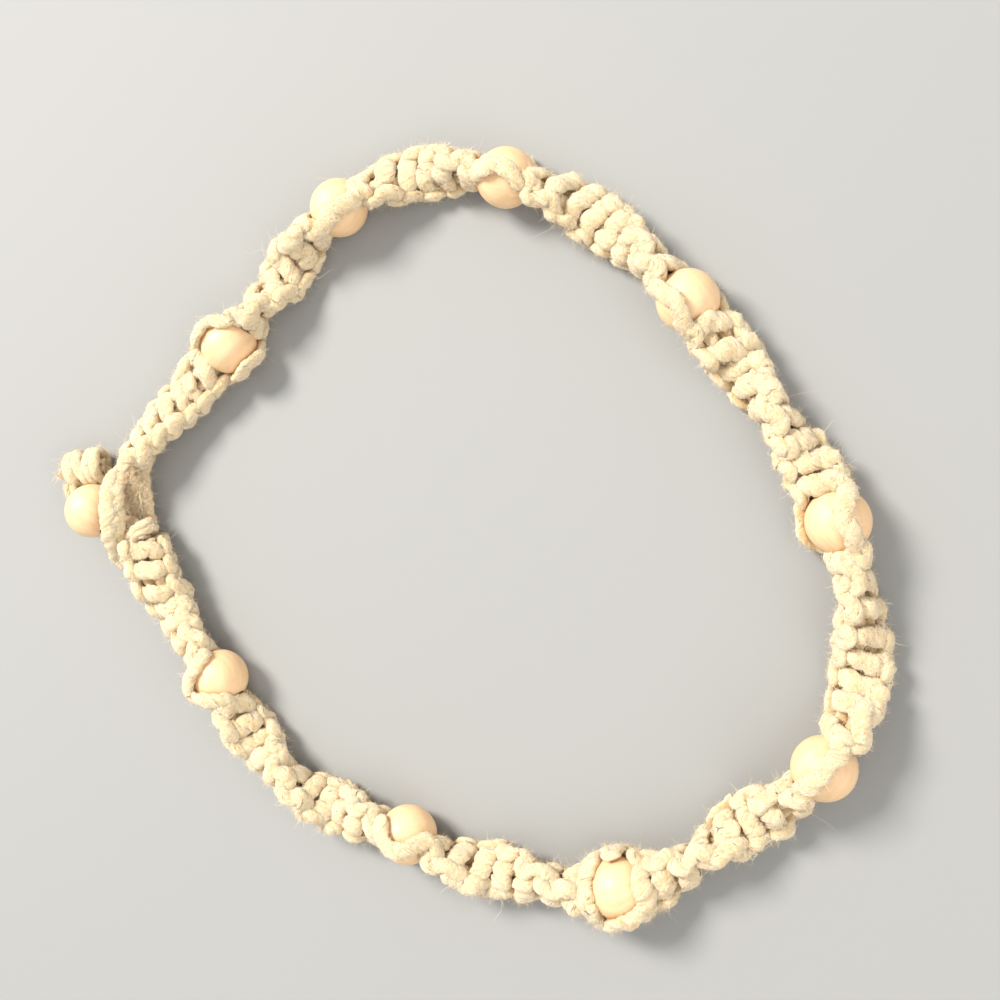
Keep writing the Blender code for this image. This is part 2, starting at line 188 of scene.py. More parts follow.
# Toggle bead, seen from above, and the way of the cord ends from the last knot towards it
TOGGLE_CENTRE = (-0.0785, -0.0020)
TOGGLE_HEADING = math.radians(145)
TOGGLE_APPROACH = [
    (-0.0686, -0.0052, 0.0055),
    (-0.0710, -0.0045, 0.0045),
]


class Edge(Enum):
    """Edge of the knotted band at which a working cord comes in."""

    RIGHT = 1
    LEFT = -1


def unit(vectors: Array) -> Array:
    """Vectors scaled to length one."""
    return vectors / np.linalg.norm(vectors, axis=-1, keepdims=True)


def level_way(angle: float) -> Array:
    """Level vector of length one at an angle in radians from X towards Y."""
    return np.array([math.cos(angle), math.sin(angle), 0])


def smooth_curve(points: Array, step: float) -> tuple[Array, Array, Array]:
    """Natural cubic curve through chosen points.

    The second derivative at each point solves the usual three-term system, and between two points
    the curve is the cubic that has those second derivatives at its ends.

    Args:
        points: chosen points, one a row.
        step: distance between the points that are returned.

    Returns:
        Points on the curve, the distance along it to each, and to each chosen point.
    """
    points = np.asarray(points, float)
    knots = np.concatenate([[0], np.cumsum(np.linalg.norm(np.diff(points, axis=0), axis=1))])
    spans = np.diff(knots)
    slopes = np.diff(points, axis=0) / spans[:, None]
    inner = np.concatenate([[1], 2 * (spans[:-1] + spans[1:]), [1]])
    below = np.concatenate([spans[:-1], [0]])
    above = np.concatenate([[0], spans[1:]])
    matrix = np.diag(inner) + np.diag(below, -1) + np.diag(above, 1)
    bend = np.zeros_like(points)
    bend[1:-1] = 6 * np.diff(slopes, axis=0)
    bend = np.linalg.solve(matrix, bend)
    places = np.linspace(0, knots[-1], max(2, int(knots[-1] / step) + 1))
    left = np.clip(np.searchsorted(knots, places, side="right") - 1, 0, len(points) - 2)
    span = spans[left][:, None]
    after = (places - knots[left])[:, None] / span
    before = 1 - after
    bulge = (before**3 - before) * bend[left] + (after**3 - after) * bend[left + 1]
    curve = before * points[left] + after * points[left + 1] + span**2 / 6 * bulge
    lengths = np.concatenate([[0], np.cumsum(np.linalg.norm(np.diff(curve, axis=0), axis=1))])
    return curve, lengths, np.interp(knots, places, lengths)


def along(values: Array, lengths: Array, places: Array) -> Array:
    """Rows of values, known at distances along a curve, at other distances."""
    return np.stack([np.interp(places, lengths, column) for column in np.asarray(values, float).T], -1)


def ease(share: Array) -> Array:
    """Smooth rise from 0 to 1 with a share t: 3t^2 - 2t^3."""
    return share * share * (3 - 2 * share)


def wobble(count: int, step: float, wave: float, rng: np.random.Generator) -> Array:
    """Slow random change along a curve, about one high.

    Random values are set a wave apart and joined with the cubic ease.

    Args:
        count: points on the curve.
        step: distance between them.
        wave: distance between the random values.
        rng: source of the values.

    Returns:
        A value for each point.
    """
    knots = rng.normal(size=int(count * step / wave) + 3)
    places = np.arange(count) * step / wave
    left = places.astype(int)
    share = ease(places - left)
    return knots[left] * (1 - share) + knots[left + 1] * share


@dataclass
class StringLine:
    """The string's middle line: its beads, its stretches of knots, their turn and their height."""

    fine_step: float = 0.0001
    band_half_width: float = 2.36 * CORD
    band_half_thickness: float = 1.50 * CORD
    loop_thickness: float = 1.16 * CORD
    hold_length: float = BEAD_RADIUS + CORD
    blend_length: float = 3 * CORD
    names: list[str] = field(init=False)
    beads: dict[str, float] = field(init=False)
    stretches: list[tuple[float, float]] = field(init=False)

    def __post_init__(self) -> None:
        """Lays the line on the surface, lifted where a bead or the clasp holds it up."""
        origin = self.origin()
        flat, self.lengths, places = smooth_curve([row[:2] for row in STRING_ROUTE], self.fine_step)
        self.names = [row[2] for row in STRING_ROUTE if row[2].startswith("bead")]
        self.beads = {row[2]: place for row, place in zip(STRING_ROUTE, places) if row[2] in self.names}
        cuts = [0.0]
        for name in self.names:
            face = COVERED_FACE if name == COVERED_BEAD else KNOT_FACE
            cuts += [self.beads[name] - face, self.beads[name] + face]
        cuts.append(self.lengths[-1])
        self.stretches = list(zip(cuts[0::2], cuts[1::2]))
        self.turns = np.interp(self.lengths, cuts, np.radians(STRETCH_TURNS).ravel())
        resting = np.hypot(self.band_half_width * np.sin(self.turns),
                           self.band_half_thickness * np.cos(self.turns))
        stops = [(self.beads[name], self.bead_height(name)) for name in self.names]
        stops.append((self.lengths[-1], resting[-1] + self.loop_thickness))
        heights = resting.copy()
        for place, height in stops:
            past = np.abs(self.lengths - place) - self.hold_length
            share = ease(np.clip(past / self.blend_length, 0, 1))
            heights += (1 - share) * (height - resting)
        self.curve = np.column_stack([flat + origin, heights])

    @staticmethod
    def origin() -> Array:
        """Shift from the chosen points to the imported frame.

        Returns:
            The shift in X and Y, which brings bead_1's point to the middle of its solid.
        """
        low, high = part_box("bead_1")
        point = next(row for row in STRING_ROUTE if row[2] == "bead_1")
        return (np.array(low) + np.array(high))[:2] / 2 - np.array(point[:2])

    @classmethod
    def shift(cls) -> Array:
        """The same shift in X, Y and Z."""
        return np.array([*cls.origin(), 0])

    @staticmethod
    def bead_height(name: str) -> float:
        """Height of a bead's centre, from its solid."""
        low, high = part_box(name)
        return (low[2] + high[2]) / 2

    def frame(self, places: Array) -> tuple[Array, Array, Array, Array]:
        """The string's own directions at distances along it, carried on straight past its ends.

        Args:
            places: distances along the string.

        Returns:
            Middle, heading, outer side and upper side at each.
        """
        places = np.asarray(places, float)
        step = self.fine_step
        held = np.clip(places, step, self.lengths[-1] - step)
        beyond = along(self.curve, self.lengths, held + step)
        heading = unit(beyond - along(self.curve, self.lengths, held - step))
        middle = along(self.curve, self.lengths, held) + (places - held)[:, None] * heading
        outer = unit(np.stack([-heading[..., 1], heading[..., 0], np.zeros(places.shape)], -1))
        return middle, heading, outer, np.cross(heading, outer)

    def turn(self, places: Array) -> Array:
        """Turn of the knots' wide side, in radians."""
        return np.interp(places, self.lengths, self.turns)

    def around(self, places: Array, radii: Array, angles: Array) -> Array:
        """Points round the string: the middle, plus radius times cos a outwards and sin a upwards.

        Args:
            places: distances along the string.
            radii: distances from its middle.
            angles: angles a, in radians from the outer side upwards.

        Returns:
            The points.
        """
        middle, _, outer, upper = self.frame(places)
        across = np.cos(angles)[..., None] * outer + np.sin(angles)[..., None] * upper
        return middle + np.asarray(radii)[..., None] * across


@dataclass
class Strand:
    """A cord's middle line, with what its section needs at each point.

    Attributes:
        points: the middle line.
        outward: direction that the section's thin side faces.
        half_width: half the section's width.
        half_thickness: half its thickness, along outward.
        painted_crevice_shade: shade painted into the cord's colour where it lies deep, from 0 to 1.
    """

    points: Array
    outward: Array
    half_width: Array
    half_thickness: Array
    painted_crevice_shade: Array

    def cut(self, keep: Array) -> "Strand":
        """The part of the cord at the points that keep picks."""
        return Strand(self.points[keep], self.outward[keep], self.half_width[keep],
                      self.half_thickness[keep], self.painted_crevice_shade[keep])


@dataclass
class Surface:
    """A grid of points, closed round its second direction, with what its finish reads."""

    points: Array
    pattern: Array
    shade: Array
    capped: bool = True


@dataclass
class TwoPlyCord:
    """Turns strands into cords of two twisted plies.

    Round the middle line the section is an oval. Its radius drops by ply_depth where the two
    plies meet, at 1 - |cos b|, where b is the angle round the cord less the twist up to there.
    The shade, painted into the cords' colour, grows towards the side that faces inwards and in the groove
    between the plies.
    """

    sides: int = 14
    step: float = 0.00028
    ply_pitch: float = 0.0060
    ply_depth: float = 0.15
    groove_power: float = 1.3
    lumpiness: float = 0.085
    lump_wave: float = 0.0019
    twist_drift: float = 0.7
    drift_wave: float = 0.0045
    lobes: tuple[int, ...] = (3, 5)
    lobe_depth: float = 0.04
    lobe_drift: float = 1.5
    grain: float = 0.00005
    inner_shade: float = 0.9
    inner_power: float = 1.2
    ply_shade: float = 0.25

    def surface(self, strand: Strand, rng: np.random.Generator) -> Surface:
        """Skin of one cord.

        Args:
            strand: the cord's middle line and section.
            rng: source of its uneven thickness.

        Returns:
            The grid of points, its pattern coordinates and its shade.
        """
        count = len(strand.points)
        heading = unit(np.gradient(strand.points, axis=0))
        normal = unit(strand.outward - (strand.outward * heading).sum(1, keepdims=True) * heading)
        side = np.cross(heading, normal)
        steps = np.linalg.norm(np.diff(strand.points, axis=0), axis=1)
        lengths = np.concatenate([[0], np.cumsum(steps)]) + rng.uniform(0, 1)
        phi = np.linspace(0, 2 * math.pi, self.sides, endpoint=False)
        drift = self.twist_drift * wobble(count, self.step, self.drift_wave, rng)
        twist = phi - (2 * math.pi * lengths / self.ply_pitch + drift)[:, None]
        uneven = 1 + self.lumpiness * wobble(count, self.step, self.lump_wave, rng)
        groove = 1 - self.ply_depth * (1 - np.abs(np.cos(twist))) ** self.groove_power
        radius = uneven[:, None] * groove
        for lobe in self.lobes:
            sway = wobble(count, self.step, self.lump_wave, rng)[:, None]
            radius = radius * (1 + self.lobe_depth * np.cos(lobe * twist + self.lobe_drift * sway))
        wide = (strand.half_width[:, None] * radius * np.sin(phi))[..., None] * side[:, None]
        thick = (strand.half_thickness[:, None] * radius * np.cos(phi))[..., None] * normal[:, None]
        roughness = self.grain * rng.normal(size=(count, self.sides, 1))
        skin = strand.points[:, None] + wide + thick
        skin += roughness * unit(wide + thick)
        skin[..., 2] = np.maximum(skin[..., 2], FLOOR_GAP)
        distance = np.broadcast_to(lengths[:, None] * MILLIMETRES, twist.shape)
        pattern = np.stack([distance, np.cos(twist), np.sin(twist)], -1)
        # painted shade: darker on the inner side, in the groove between the plies and where the strand
        # lies deep
        inner = self.inner_shade * ((1 - np.cos(phi)) / 2)[None] ** self.inner_power
        between = self.ply_shade * (1 - groove) / self.ply_depth
        shade = np.clip(strand.painted_crevice_shade[:, None] + inner + between, 0, 1)
        return Surface(skin, pattern, shade)


def add_pattern(mesh: bpy.types.Mesh, pattern: Array) -> None:
    """Stores the pattern coordinates that the finishes read."""
    attribute = mesh.attributes.new("pattern", "FLOAT_VECTOR", "POINT")
    attribute.data.foreach_set("vector", pattern.astype(np.float32).ravel())


def new_piece(name: str, mesh: bpy.types.Mesh, finish: bpy.types.Material) -> bpy.types.Object:
    """Dresses a mesh and makes it an object.

    Args:
        name: the piece's name.
        mesh: its mesh.
        finish: its material.

    Returns:
        The object.
    """
    mesh.materials.append(finish)
    piece = bpy.data.objects.new(name, mesh)
    bpy.context.scene.collection.objects.link(piece)
    return piece


def add_piece(name: str, surfaces: list[Surface], finish: bpy.types.Material,
              replaced: tuple[str, ...]) -> None:
    """Makes one piece of several closed grids and fits it to the frame.

    Each grid gives a four-sided face between neighbours along it and round it, and one face on
    each end where it is capped; an open grid's ends meet instead.

    Args:
        name: the piece's name.
        surfaces: its grids.
        finish: its material.
        replaced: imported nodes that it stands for.
    """
    loops, totals = [], []
    offset = 0
    for surface in surfaces:
        rings, sides = surface.points.shape[:2]
        last = rings - 1 if surface.capped else rings
        i, j = np.meshgrid(np.arange(last), np.arange(sides), indexing="ij")
        after, beside = (i + 1) % rings, (j + 1) % sides
        corners = [i * sides + j, i * sides + beside, after * sides + beside, after * sides + j]
        loops.append(np.stack(corners, -1).reshape(-1) + offset)
        totals.append(np.full(last * sides, 4))
        if surface.capped:
            ends = np.stack([np.arange(sides)[::-1], (rings - 1) * sides + np.arange(sides)])
            loops.append(ends.reshape(-1) + offset)
            totals.append(np.full(2, sides))
        offset += rings * sides
    loops, totals = np.concatenate(loops), np.concatenate(totals)
    points = np.concatenate([surface.points.reshape(-1, 3) for surface in surfaces])
    shades = np.concatenate([surface.shade.reshape(-1) for surface in surfaces])
    mesh = bpy.data.meshes.new(name)
    mesh.vertices.add(offset)
    mesh.vertices.foreach_set("co", points.astype(np.float32).ravel())
    mesh.loops.add(len(loops))
    mesh.loops.foreach_set("vertex_index", loops.astype(np.int32))
    mesh.polygons.add(len(totals))
    starts = np.concatenate([[0], np.cumsum(totals)[:-1]])
    mesh.polygons.foreach_set("loop_start", starts.astype(np.int32))
    mesh.polygons.foreach_set("loop_total", totals.astype(np.int32))
    add_pattern(mesh, np.concatenate([surface.pattern.reshape(-1, 3) for surface in surfaces]))
    shade = mesh.attributes.new("shade", "FLOAT", "POINT")
    shade.data.foreach_set("value", shades.astype(np.float32).ravel())
    mesh.update(calc_edges=True)
    mesh.shade_smooth()
    piece = new_piece(name, mesh, finish)
    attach(piece, "root")
    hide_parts(*replaced)
    LOG.info("%s: %d faces, for %s", name, len(totals), ", ".join(replaced))


@dataclass
class KnottedBand:
    """The ten stretches of half knots, with the cords that pass the beads between them."""

    line: StringLine
    cord: TwoPlyCord = field(default_factory=TwoPlyCord)
    bar_half_thickness: float = 0.50 * CORD
    bead_half_width: float = 0.76 * CORD
    under_half_width: float = 0.55 * CORD
    bead_half_thickness: float = 0.41 * CORD
    pass_reach: float = 0.0025
    covered_reach: float = 0.5 * COVERED_FACE
    pass_shares: Vector = (0.66, 0.0, 0.34)
    core_radius: float = 0.60 * CORD
    core_spread: float = 0.58 * CORD
    bore_radius: float = 0.42 * CORD
    oval: tuple[float, float] = (1.9, 1.0)
    jitter: float = 0.05
    # painted shade: how much darker the working cords are in the knots, and the core cords inside them
    knot_painted_shade: float = 0.05
    core_painted_shade: float = 0.1
    seed: int = 11

    def knot_rows(self, number: int, edge: Edge, rng: np.random.Generator) -> Array:
        """Chosen points of one working cord in a stretch: HALF_KNOT, from either edge in turn.

        Args:
            number: the stretch.
            edge: where the cord comes in.
            rng: source of the knots' unevenness.

        Returns:
            Rows of places along, across and through the string, and half the cord's width.
        """
        start, end = self.line.stretches[number]
        knots = STRETCH_KNOTS[number]
        pitch = (end - start) / knots
        rows = []
        sign = edge.value
        for knot in range(knots + 1):
            first = EDGE_ROW if knot == 0 else 0
            last = EDGE_ROW + 1 if knot == knots else len(HALF_KNOT)
            part = HALF_KNOT[first:last] + rng.normal(0, self.jitter, (last - first, 4))
            places = start + pitch * (knot - KNOT_LEAD + part[:, 2])
            part = part * (sign * CORD, sign * CORD, 1, CORD)
            rows.append(np.column_stack([places, part[:, 0], part[:, 1], part[:, 3]]))
            sign = -sign
        return np.concatenate(rows)

    def placed(self, rows: Array) -> tuple[Array, Array, Array]:
        """World places of rows along, across and through the string.

        The section's thin side faces out of an oval about the string, with half axes as oval
        gives them. A point that would be closer to a bead's centre than a cord on its surface
        moves straight out from the centre to that distance.

        Args:
            rows: as knot_rows gives them.

        Returns:
            Points, outward directions, and angles about the string.
        """
        places, across, through = rows[:, :3].T
        turn = self.line.turn(places)
        angle = turn + np.arctan2(through, across)
        points = self.line.around(places, np.hypot(across, through), angle)
        lean = turn + np.arctan2(through / self.oval[1] ** 2, across / self.oval[0] ** 2)
        outward = self.line.around(places, np.ones(len(places)), lean) - self.line.frame(places)[0]
        centres = self.line.frame(np.array(list(self.line.beads.values())))[0]
        away = points[:, None] - centres
        distance = np.linalg.norm(away, axis=2, keepdims=True)
        clear = BEAD_RADIUS + self.bead_half_thickness
        near = distance < clear
        points = points + np.where(near, away * (clear / distance - 1), 0).sum(1)
        outward = outward + np.where(near, away / distance, 0).sum(1)
        return points, outward, angle

    def bead_pass(self, name: str, angles: Vector) -> tuple[Array, Array, Array]:
        """A working cord on its way round a bead.

        It stays on a circle about the bead's centre, and its angle about the string goes from the
        first to the second value at the bead's middle and on to the third. It has three points,
        before, at and after the middle, each at its share of that way in pass_shares.

        Args:
            name: the bead.
            angles: angle where the cord leaves one stretch, at the bead, and at the next stretch.

        Returns:
            Points, outward directions, and distances along the string.
        """
        orbit = BEAD_RADIUS + self.bead_half_thickness
        reach = self.covered_reach if name == COVERED_BEAD else self.pass_reach
        x = np.array([-1, 0, 1]) * reach
        share = np.array(self.pass_shares)
        leaving, middle, entering = angles
        before, after = leaving + share * (middle - leaving), middle + share * (entering - middle)
        places = self.line.beads[name] + x
        points = self.line.around(places, np.sqrt(orbit**2 - x**2), np.where(x < 0, before, after))
        centre = self.line.frame(np.array([self.line.beads[name]]))[0]
        return points, unit(points - centre), places

    @staticmethod
    def nearest(angle: float, target: float) -> float:
        """The target angle, with whole turns added to bring it nearest to an angle."""
        return angle + (target - angle + math.pi) % (2 * math.pi) - math.pi

    def matched(self, angles: list[float], targets: list[float]) -> list[int]:
        """Shares two targets between two cords, for the least turning in all.

        Args:
            angles: where the cords are.
            targets: where they can go.

        Returns:
            The number of the target that each goes to.
        """
        def effort(order: list[int]) -> float:
            """Turning of both cords together."""
            return sum(abs(self.nearest(a, targets[k]) - a) for a, k in zip(angles, order))
        return min(([0, 1], [1, 0]), key=effort)

    def working_cords(self) -> list[tuple[Strand, Array]]:
        """Both working cords from end to end: through each stretch's knots, then past its bead.

        Returns:
            Each cord, with the distance along the string at each of its points.
        """
        rng = np.random.default_rng(self.seed)
        edges = [Edge.RIGHT, Edge.LEFT]
        lead = math.atan2(HALF_KNOT[EDGE_ROW, 1], HALF_KNOT[EDGE_ROW, 0])
        parts = [[], []]
        for number in range(len(self.line.stretches)):
            placed = []
            for k in (0, 1):
                rows = self.knot_rows(number, edges[k], rng)
                points, outward, angle = self.placed(rows)
                placed.append(angle[-1])
                # each knot point carries its half thickness and the knots' painted shade
                section = np.full((len(rows), 2), (self.bar_half_thickness, self.knot_painted_shade))
                parts[k].append(np.column_stack([points, outward, rows[:, 3], section, rows[:, 0]]))
            if number == len(self.line.names):
                break
            name = self.line.names[number]
            at_bead = [math.radians(turn) for turn in BEAD_CORDS[name]]
            order = self.matched(placed, at_bead)
            middle = [self.nearest(placed[k], at_bead[order[k]]) for k in (0, 1)]
            start = float(self.line.turn(self.line.stretches[number + 1][0])) + lead
            order = self.matched(middle, [start, start + math.pi])
            edges = [Edge.RIGHT if order[k] == 0 else Edge.LEFT for k in (0, 1)]
            for k in (0, 1):
                entering = self.nearest(middle[k], start + math.pi * order[k])
                points, outward, places = self.bead_pass(name, (placed[k], middle[k], entering))
                wide = self.bead_half_width if math.sin(middle[k]) > 0 else self.under_half_width
                section = np.full((len(points), 3), (wide, self.bead_half_thickness, 0))
                parts[k].append(np.column_stack([points, outward, section, places]))
        cords = []
        for part in parts:
            rows = np.concatenate(part)
            curve, lengths, chosen = smooth_curve(rows[:, :3], self.cord.step)
            rows = along(rows[:, 3:], chosen, lengths)
            cords.append((Strand(curve, rows[:, :3], rows[:, 3], rows[:, 4], rows[:, 5]), rows[:, 6]))
        return cords

    def core_cords(self) -> list[tuple[Strand, Array]]:
        """The two core cords, side by side along the string's middle, drawn in at the beads.

        Returns:
            Each cord, with the distance along the string at each of its points.
        """
        places = np.arange(0, self.line.lengths[-1], 2 * self.cord.step)
        distance = np.min([np.abs(places - place) for place in self.line.beads.values()], axis=0)
        share = np.clip((distance - BEAD_FACE) / CORD, 0, 1)
        size = self.bore_radius + share * (self.core_radius - self.bore_radius)
        spread = self.bore_radius + share * (self.core_spread - self.bore_radius)
        # painted shade for the core cords, which lie inside the knots
        painted_crevice_shade = np.full(len(places), self.core_painted_shade)
        cords = []
        for side in (0, math.pi):
            angle = self.line.turn(places) + side
            points = self.line.around(places, spread, angle)
            outward = points - self.line.frame(places)[0]
            cords.append((Strand(points, outward, size, size, painted_crevice_shade), places))
        return cords

    def build(self, finish: bpy.types.Material) -> list[Strand]:
        """Makes a piece for each stretch.

        Args:
            finish: the cords' material.

        Returns:
            The working cords, for their fibres.
        """
        rng = np.random.default_rng(self.seed + 1)
        cords = self.working_cords()
        cores = self.core_cords()
        starts = [start for start, _ in self.line.stretches] + [self.line.lengths[-1] + CORD]
        starts[0] -= CORD
        for number in range(len(self.line.stretches)):
            surfaces = []
            for strand, places in [*cords, *cores]:
                inside = np.flatnonzero((places >= starts[number]) & (places <= starts[number + 1]))
                keep = np.arange(inside[0], min(inside[-1] + 2, len(places)))
                surfaces.append(self.cord.surface(strand.cut(keep), rng))
            add_piece(f"knotted_cords_{number + 1}", surfaces, finish, (f"knots_{number + 1}",))
        return [strand for strand, _ in cords]


@dataclass
class Beads:
    """Ten drilled wooden beads: turned balls with a rounded mouth at each end of the bore."""

    line: StringLine
    mouth_round: float = 0.00028
    bore_start: float = 1.5
    sides: int = 72
    arc_points: int = 44
    mouth_points: int = 6
    bore_points: int = 8
    pattern_spread: float = 100.0
    seed: int = 5

    def profile(self) -> Array:
        """Closed outline of half a section.

        The outside is an arc of the ball, each mouth a quarter turn of mouth_round, and the bore
        a straight line that starts bore_start times mouth_round inside the mouth.

        Returns:
            Points along the bore and out from it.
        """
        reach = self.mouth_round
        edge = math.asin((BORE_RADIUS + reach) / BEAD_RADIUS)
        arc = np.linspace(edge, math.pi - edge, self.arc_points)
        outside = BEAD_RADIUS * np.column_stack([-np.cos(arc), np.sin(arc)])
        mouth = BEAD_RADIUS * math.cos(edge)
        bend = np.linspace(0, math.pi / 2, self.mouth_points)[1:]
        inwards, down = reach * (1 - np.cos(bend)), reach * (1 - np.sin(bend))
        corner = np.column_stack([mouth - inwards, BORE_RADIUS + down])
        start = mouth - self.bore_start * reach
        straight = np.linspace(start, -start, self.bore_points)
        bore = np.column_stack([straight, np.full(self.bore_points, BORE_RADIUS)])
        return np.concatenate([outside, corner, bore, (corner * (-1, 1))[::-1]])

    def surface(self, centre: Array, heading: Array, rng: np.random.Generator) -> Surface:
        """One bead: the profile turned about its heading.

        Args:
            centre: the ball's centre.
            heading: direction of the bore.
            rng: source of the grain's place.

        Returns:
            The bead's closed grid.
        """
        heading = unit(heading)
        side = unit(np.cross([0, 0, 1.0], heading))
        upper = np.cross(heading, side)
        roll = rng.uniform(0, 2 * math.pi)
        phi = roll + np.linspace(0, 2 * math.pi, self.sides, endpoint=False)
        spokes = np.cos(phi)[:, None] * side + np.sin(phi)[:, None] * upper
        x, r = self.profile().T
        points = centre + x[:, None, None] * heading + r[:, None, None] * spokes[None]
        local = np.stack([np.broadcast_to(x[:, None], (len(x), self.sides)),
                          r[:, None] * np.cos(phi - roll), r[:, None] * np.sin(phi - roll)], -1)
        pattern = local * MILLIMETRES + rng.uniform(0, self.pattern_spread, 3)
        # painted shade inside the bore: 0 on the outside, rising through the mouth's rounding to 1 along
        # the bore
        shade = np.clip((BORE_RADIUS + self.mouth_round - r) / self.mouth_round, 0, 1)
        shade = np.broadcast_to(shade[:, None], (len(x), self.sides))
        return Surface(points, pattern, shade, capped=False)

    def build(self, finish: bpy.types.Material) -> None:
        """Makes the nine beads on the string and the toggle.

        Args:
            finish: the beads' material.
        """
        rng = np.random.default_rng(self.seed)
        for name in self.line.names:
            middle, heading, _, _ = self.line.frame(np.array([self.line.beads[name]]))
            surface = self.surface(middle[0], heading[0], rng)
            add_piece(f"wooden_{name}", [surface], finish, (name,))
        centre = np.array([*(self.line.origin() + TOGGLE_CENTRE), self.line.bead_height("toggle_bead")])
        surface = self.surface(centre, level_way(TOGGLE_HEADING), rng)
        add_piece("wooden_toggle_bead", [surface], finish, ("toggle_bead",))


@dataclass(frozen=True)
class Coil:
    """A cord wound about an axis that lies level.

    Attributes:
        centre: middle of the coil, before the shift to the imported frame.
        heading: heading of its axis seen from above, in radians.
        radii: distance from the axis sideways and upwards.
        reach: length from the first turn to the last.
        stops: place of each half turn along the coil, as a share of its reach.
        half_width: half the cord's width along the coil.
    """

    centre: Vector
    heading: float
    radii: tuple[float, float]
    reach: float
    stops: tuple[float, ...]
    half_width: float


@dataclass
class Clasp:
    """The cord loop, and the cord ends with the trimmed knot that hold the toggle bead."""

    line: StringLine
    cord: TwoPlyCord = field(default_factory=TwoPlyCord)
    loop_half_thickness: float = 0.44 * CORD
    worn_width: float = 0.55 * CORD
    worn_fullness: float = 0.35
    worn_from: float = 0.6
    upward: float = 0.4
    yarns: int = 20
    yarn_radius: float = 0.00024
    # painted shade of the loose yarns
    yarn_painted_shade: float = 0.1
    yarn_start: tuple[float, float] = (0.56, 0.86)
    yarn_length: tuple[float, float] = (0.10, 0.22)
    yarn_sway: float = 1.2
    sway_change: float = 0.35
    sway_wave: float = 0.0014
    yarn_lift: float = 1.35
    lift_change: float = 0.2
    lift_wave: float = 0.0013
    end_radius: float = 0.38 * CORD
    # painted shade of the cord ends
    end_painted_shade: float = 0.2
    end_twist: float = 0.006
    ends_spread: float = 0.00085
    past_toggle: float = 1.35 * BEAD_FACE
    past_shift: Vector = (0, 0.0008, -0.0008)
    core_spread: float = 0.00082
    core_flare: float = 2.0
    core_reach: tuple[float, float] = (0.0044, 0.0030)
    cut_end_length: float = 0.0020
    tip_shift: Vector = (0, 0.0010, 0.0004)
    wrap_radius: float = 0.47 * CORD
    knot_centre: Vector = (-0.0810, 0.0060, 0.0033)
    knot_heading: float = math.radians(8)
    seed: int = 23

    def trimmed_knot(self) -> Coil:
        """The cord round the cut ends: two pillows of wraps with a longer step between them."""
        stops = (0.06, 0.13, 0.20, 0.27, 0.34, 0.74, 0.80, 0.86, 0.92)
        return Coil(self.knot_centre, self.knot_heading + math.pi, (0.0027, 0.0023), 0.0074, stops,
                    0.60 * CORD)

    def last_wrap(self) -> Coil:
        """The cord over the ends beyond the last knot: two turns side by side."""
        return Coil((-0.0679, -0.0060, 0.0050), math.radians(125), (0.0024, 0.0020), 0.0020,
                    (0.0, 0.25, 0.5, 0.75, 1.0), self.wrap_radius)

    @staticmethod
    def level_side(heading: Array) -> Array:
        """Level directions to the left of headings."""
        return unit(np.column_stack([-heading[:, 1], heading[:, 0], np.zeros(len(heading))]))

    def loop_route(self) -> tuple[Array, Array, Array, Array, Array]:
        """The loop's middle line with the directions of its pair of cords.

        The crosswise direction is the level one, turned by the tilt about the heading.

        Returns:
            Middle line, crosswise and upper directions, half the pair's spread and half a cord's
            width.
        """
        rows = np.array(LOOP_ROUTE)
        curve, lengths, places = smooth_curve(rows[:, :3] + self.line.shift(), self.cord.step)
        heading = unit(np.gradient(curve, axis=0))
        level = self.level_side(heading)
        tilt, spread, wide = along(rows[:, 3:], places, lengths).T
        tilt = np.radians(tilt)[:, None]
        across = np.cos(tilt) * level + np.sin(tilt) * np.cross(heading, level)
        return curve, across, np.cross(heading, across), spread * CORD, wide * CORD

    def loop_strands(self) -> list[Strand]:
        """The loop's pair of cords, side by side along its route and tilted with it.

        Returns:
            The two cords; where they are worn wide they are thicker too.
        """
        curve, across, through, spread, wide = self.loop_route()
        thick = self.loop_half_thickness + self.worn_fullness * np.maximum(wide - self.worn_width, 0)
        # the lean upwards moves the painted inner shade towards the loop's underside; it also turns the
        # section and the fibres' way out
        outward = through + (0, 0, self.upward)
        painted_crevice_shade = np.zeros(len(curve))
        return [Strand(curve + (side * spread)[:, None] * across, outward, wide, thick, painted_crevice_shade)
                for side in (1, -1)]

    def loose_yarns(self, rng: np.random.Generator) -> list[Strand]:
        """Thin yarns worked loose on the worn half of the loop.

        Each lies over the loop's cords for a part of its route, at a distance to the side and a
        lift that change slowly.

        Args:
            rng: source of their places.

        Returns:
            The yarns.
        """
        curve, across, through, spread, _ = self.loop_route()
        count = len(curve)
        strands = []
        for _ in range(self.yarns):
            first = int(rng.uniform(*self.yarn_start) * count)
            last = min(count, first + int(rng.uniform(*self.yarn_length) * count))
            sway = rng.uniform(-self.yarn_sway, self.yarn_sway)
            sway = sway + self.sway_change * wobble(count, self.cord.step, self.sway_wave, rng)
            lift = np.abs(wobble(count, self.cord.step, self.lift_wave, rng))
            lift = self.yarn_lift + self.lift_change * lift
            points = curve + (sway * spread)[:, None] * across
            points = points + (lift * self.loop_half_thickness)[:, None] * through
            size = np.full(count, self.yarn_radius)
            strand = Strand(points, through, size, size, np.full(count, self.yarn_painted_shade))
            strands.append(strand.cut(np.arange(first, last)))
        return strands

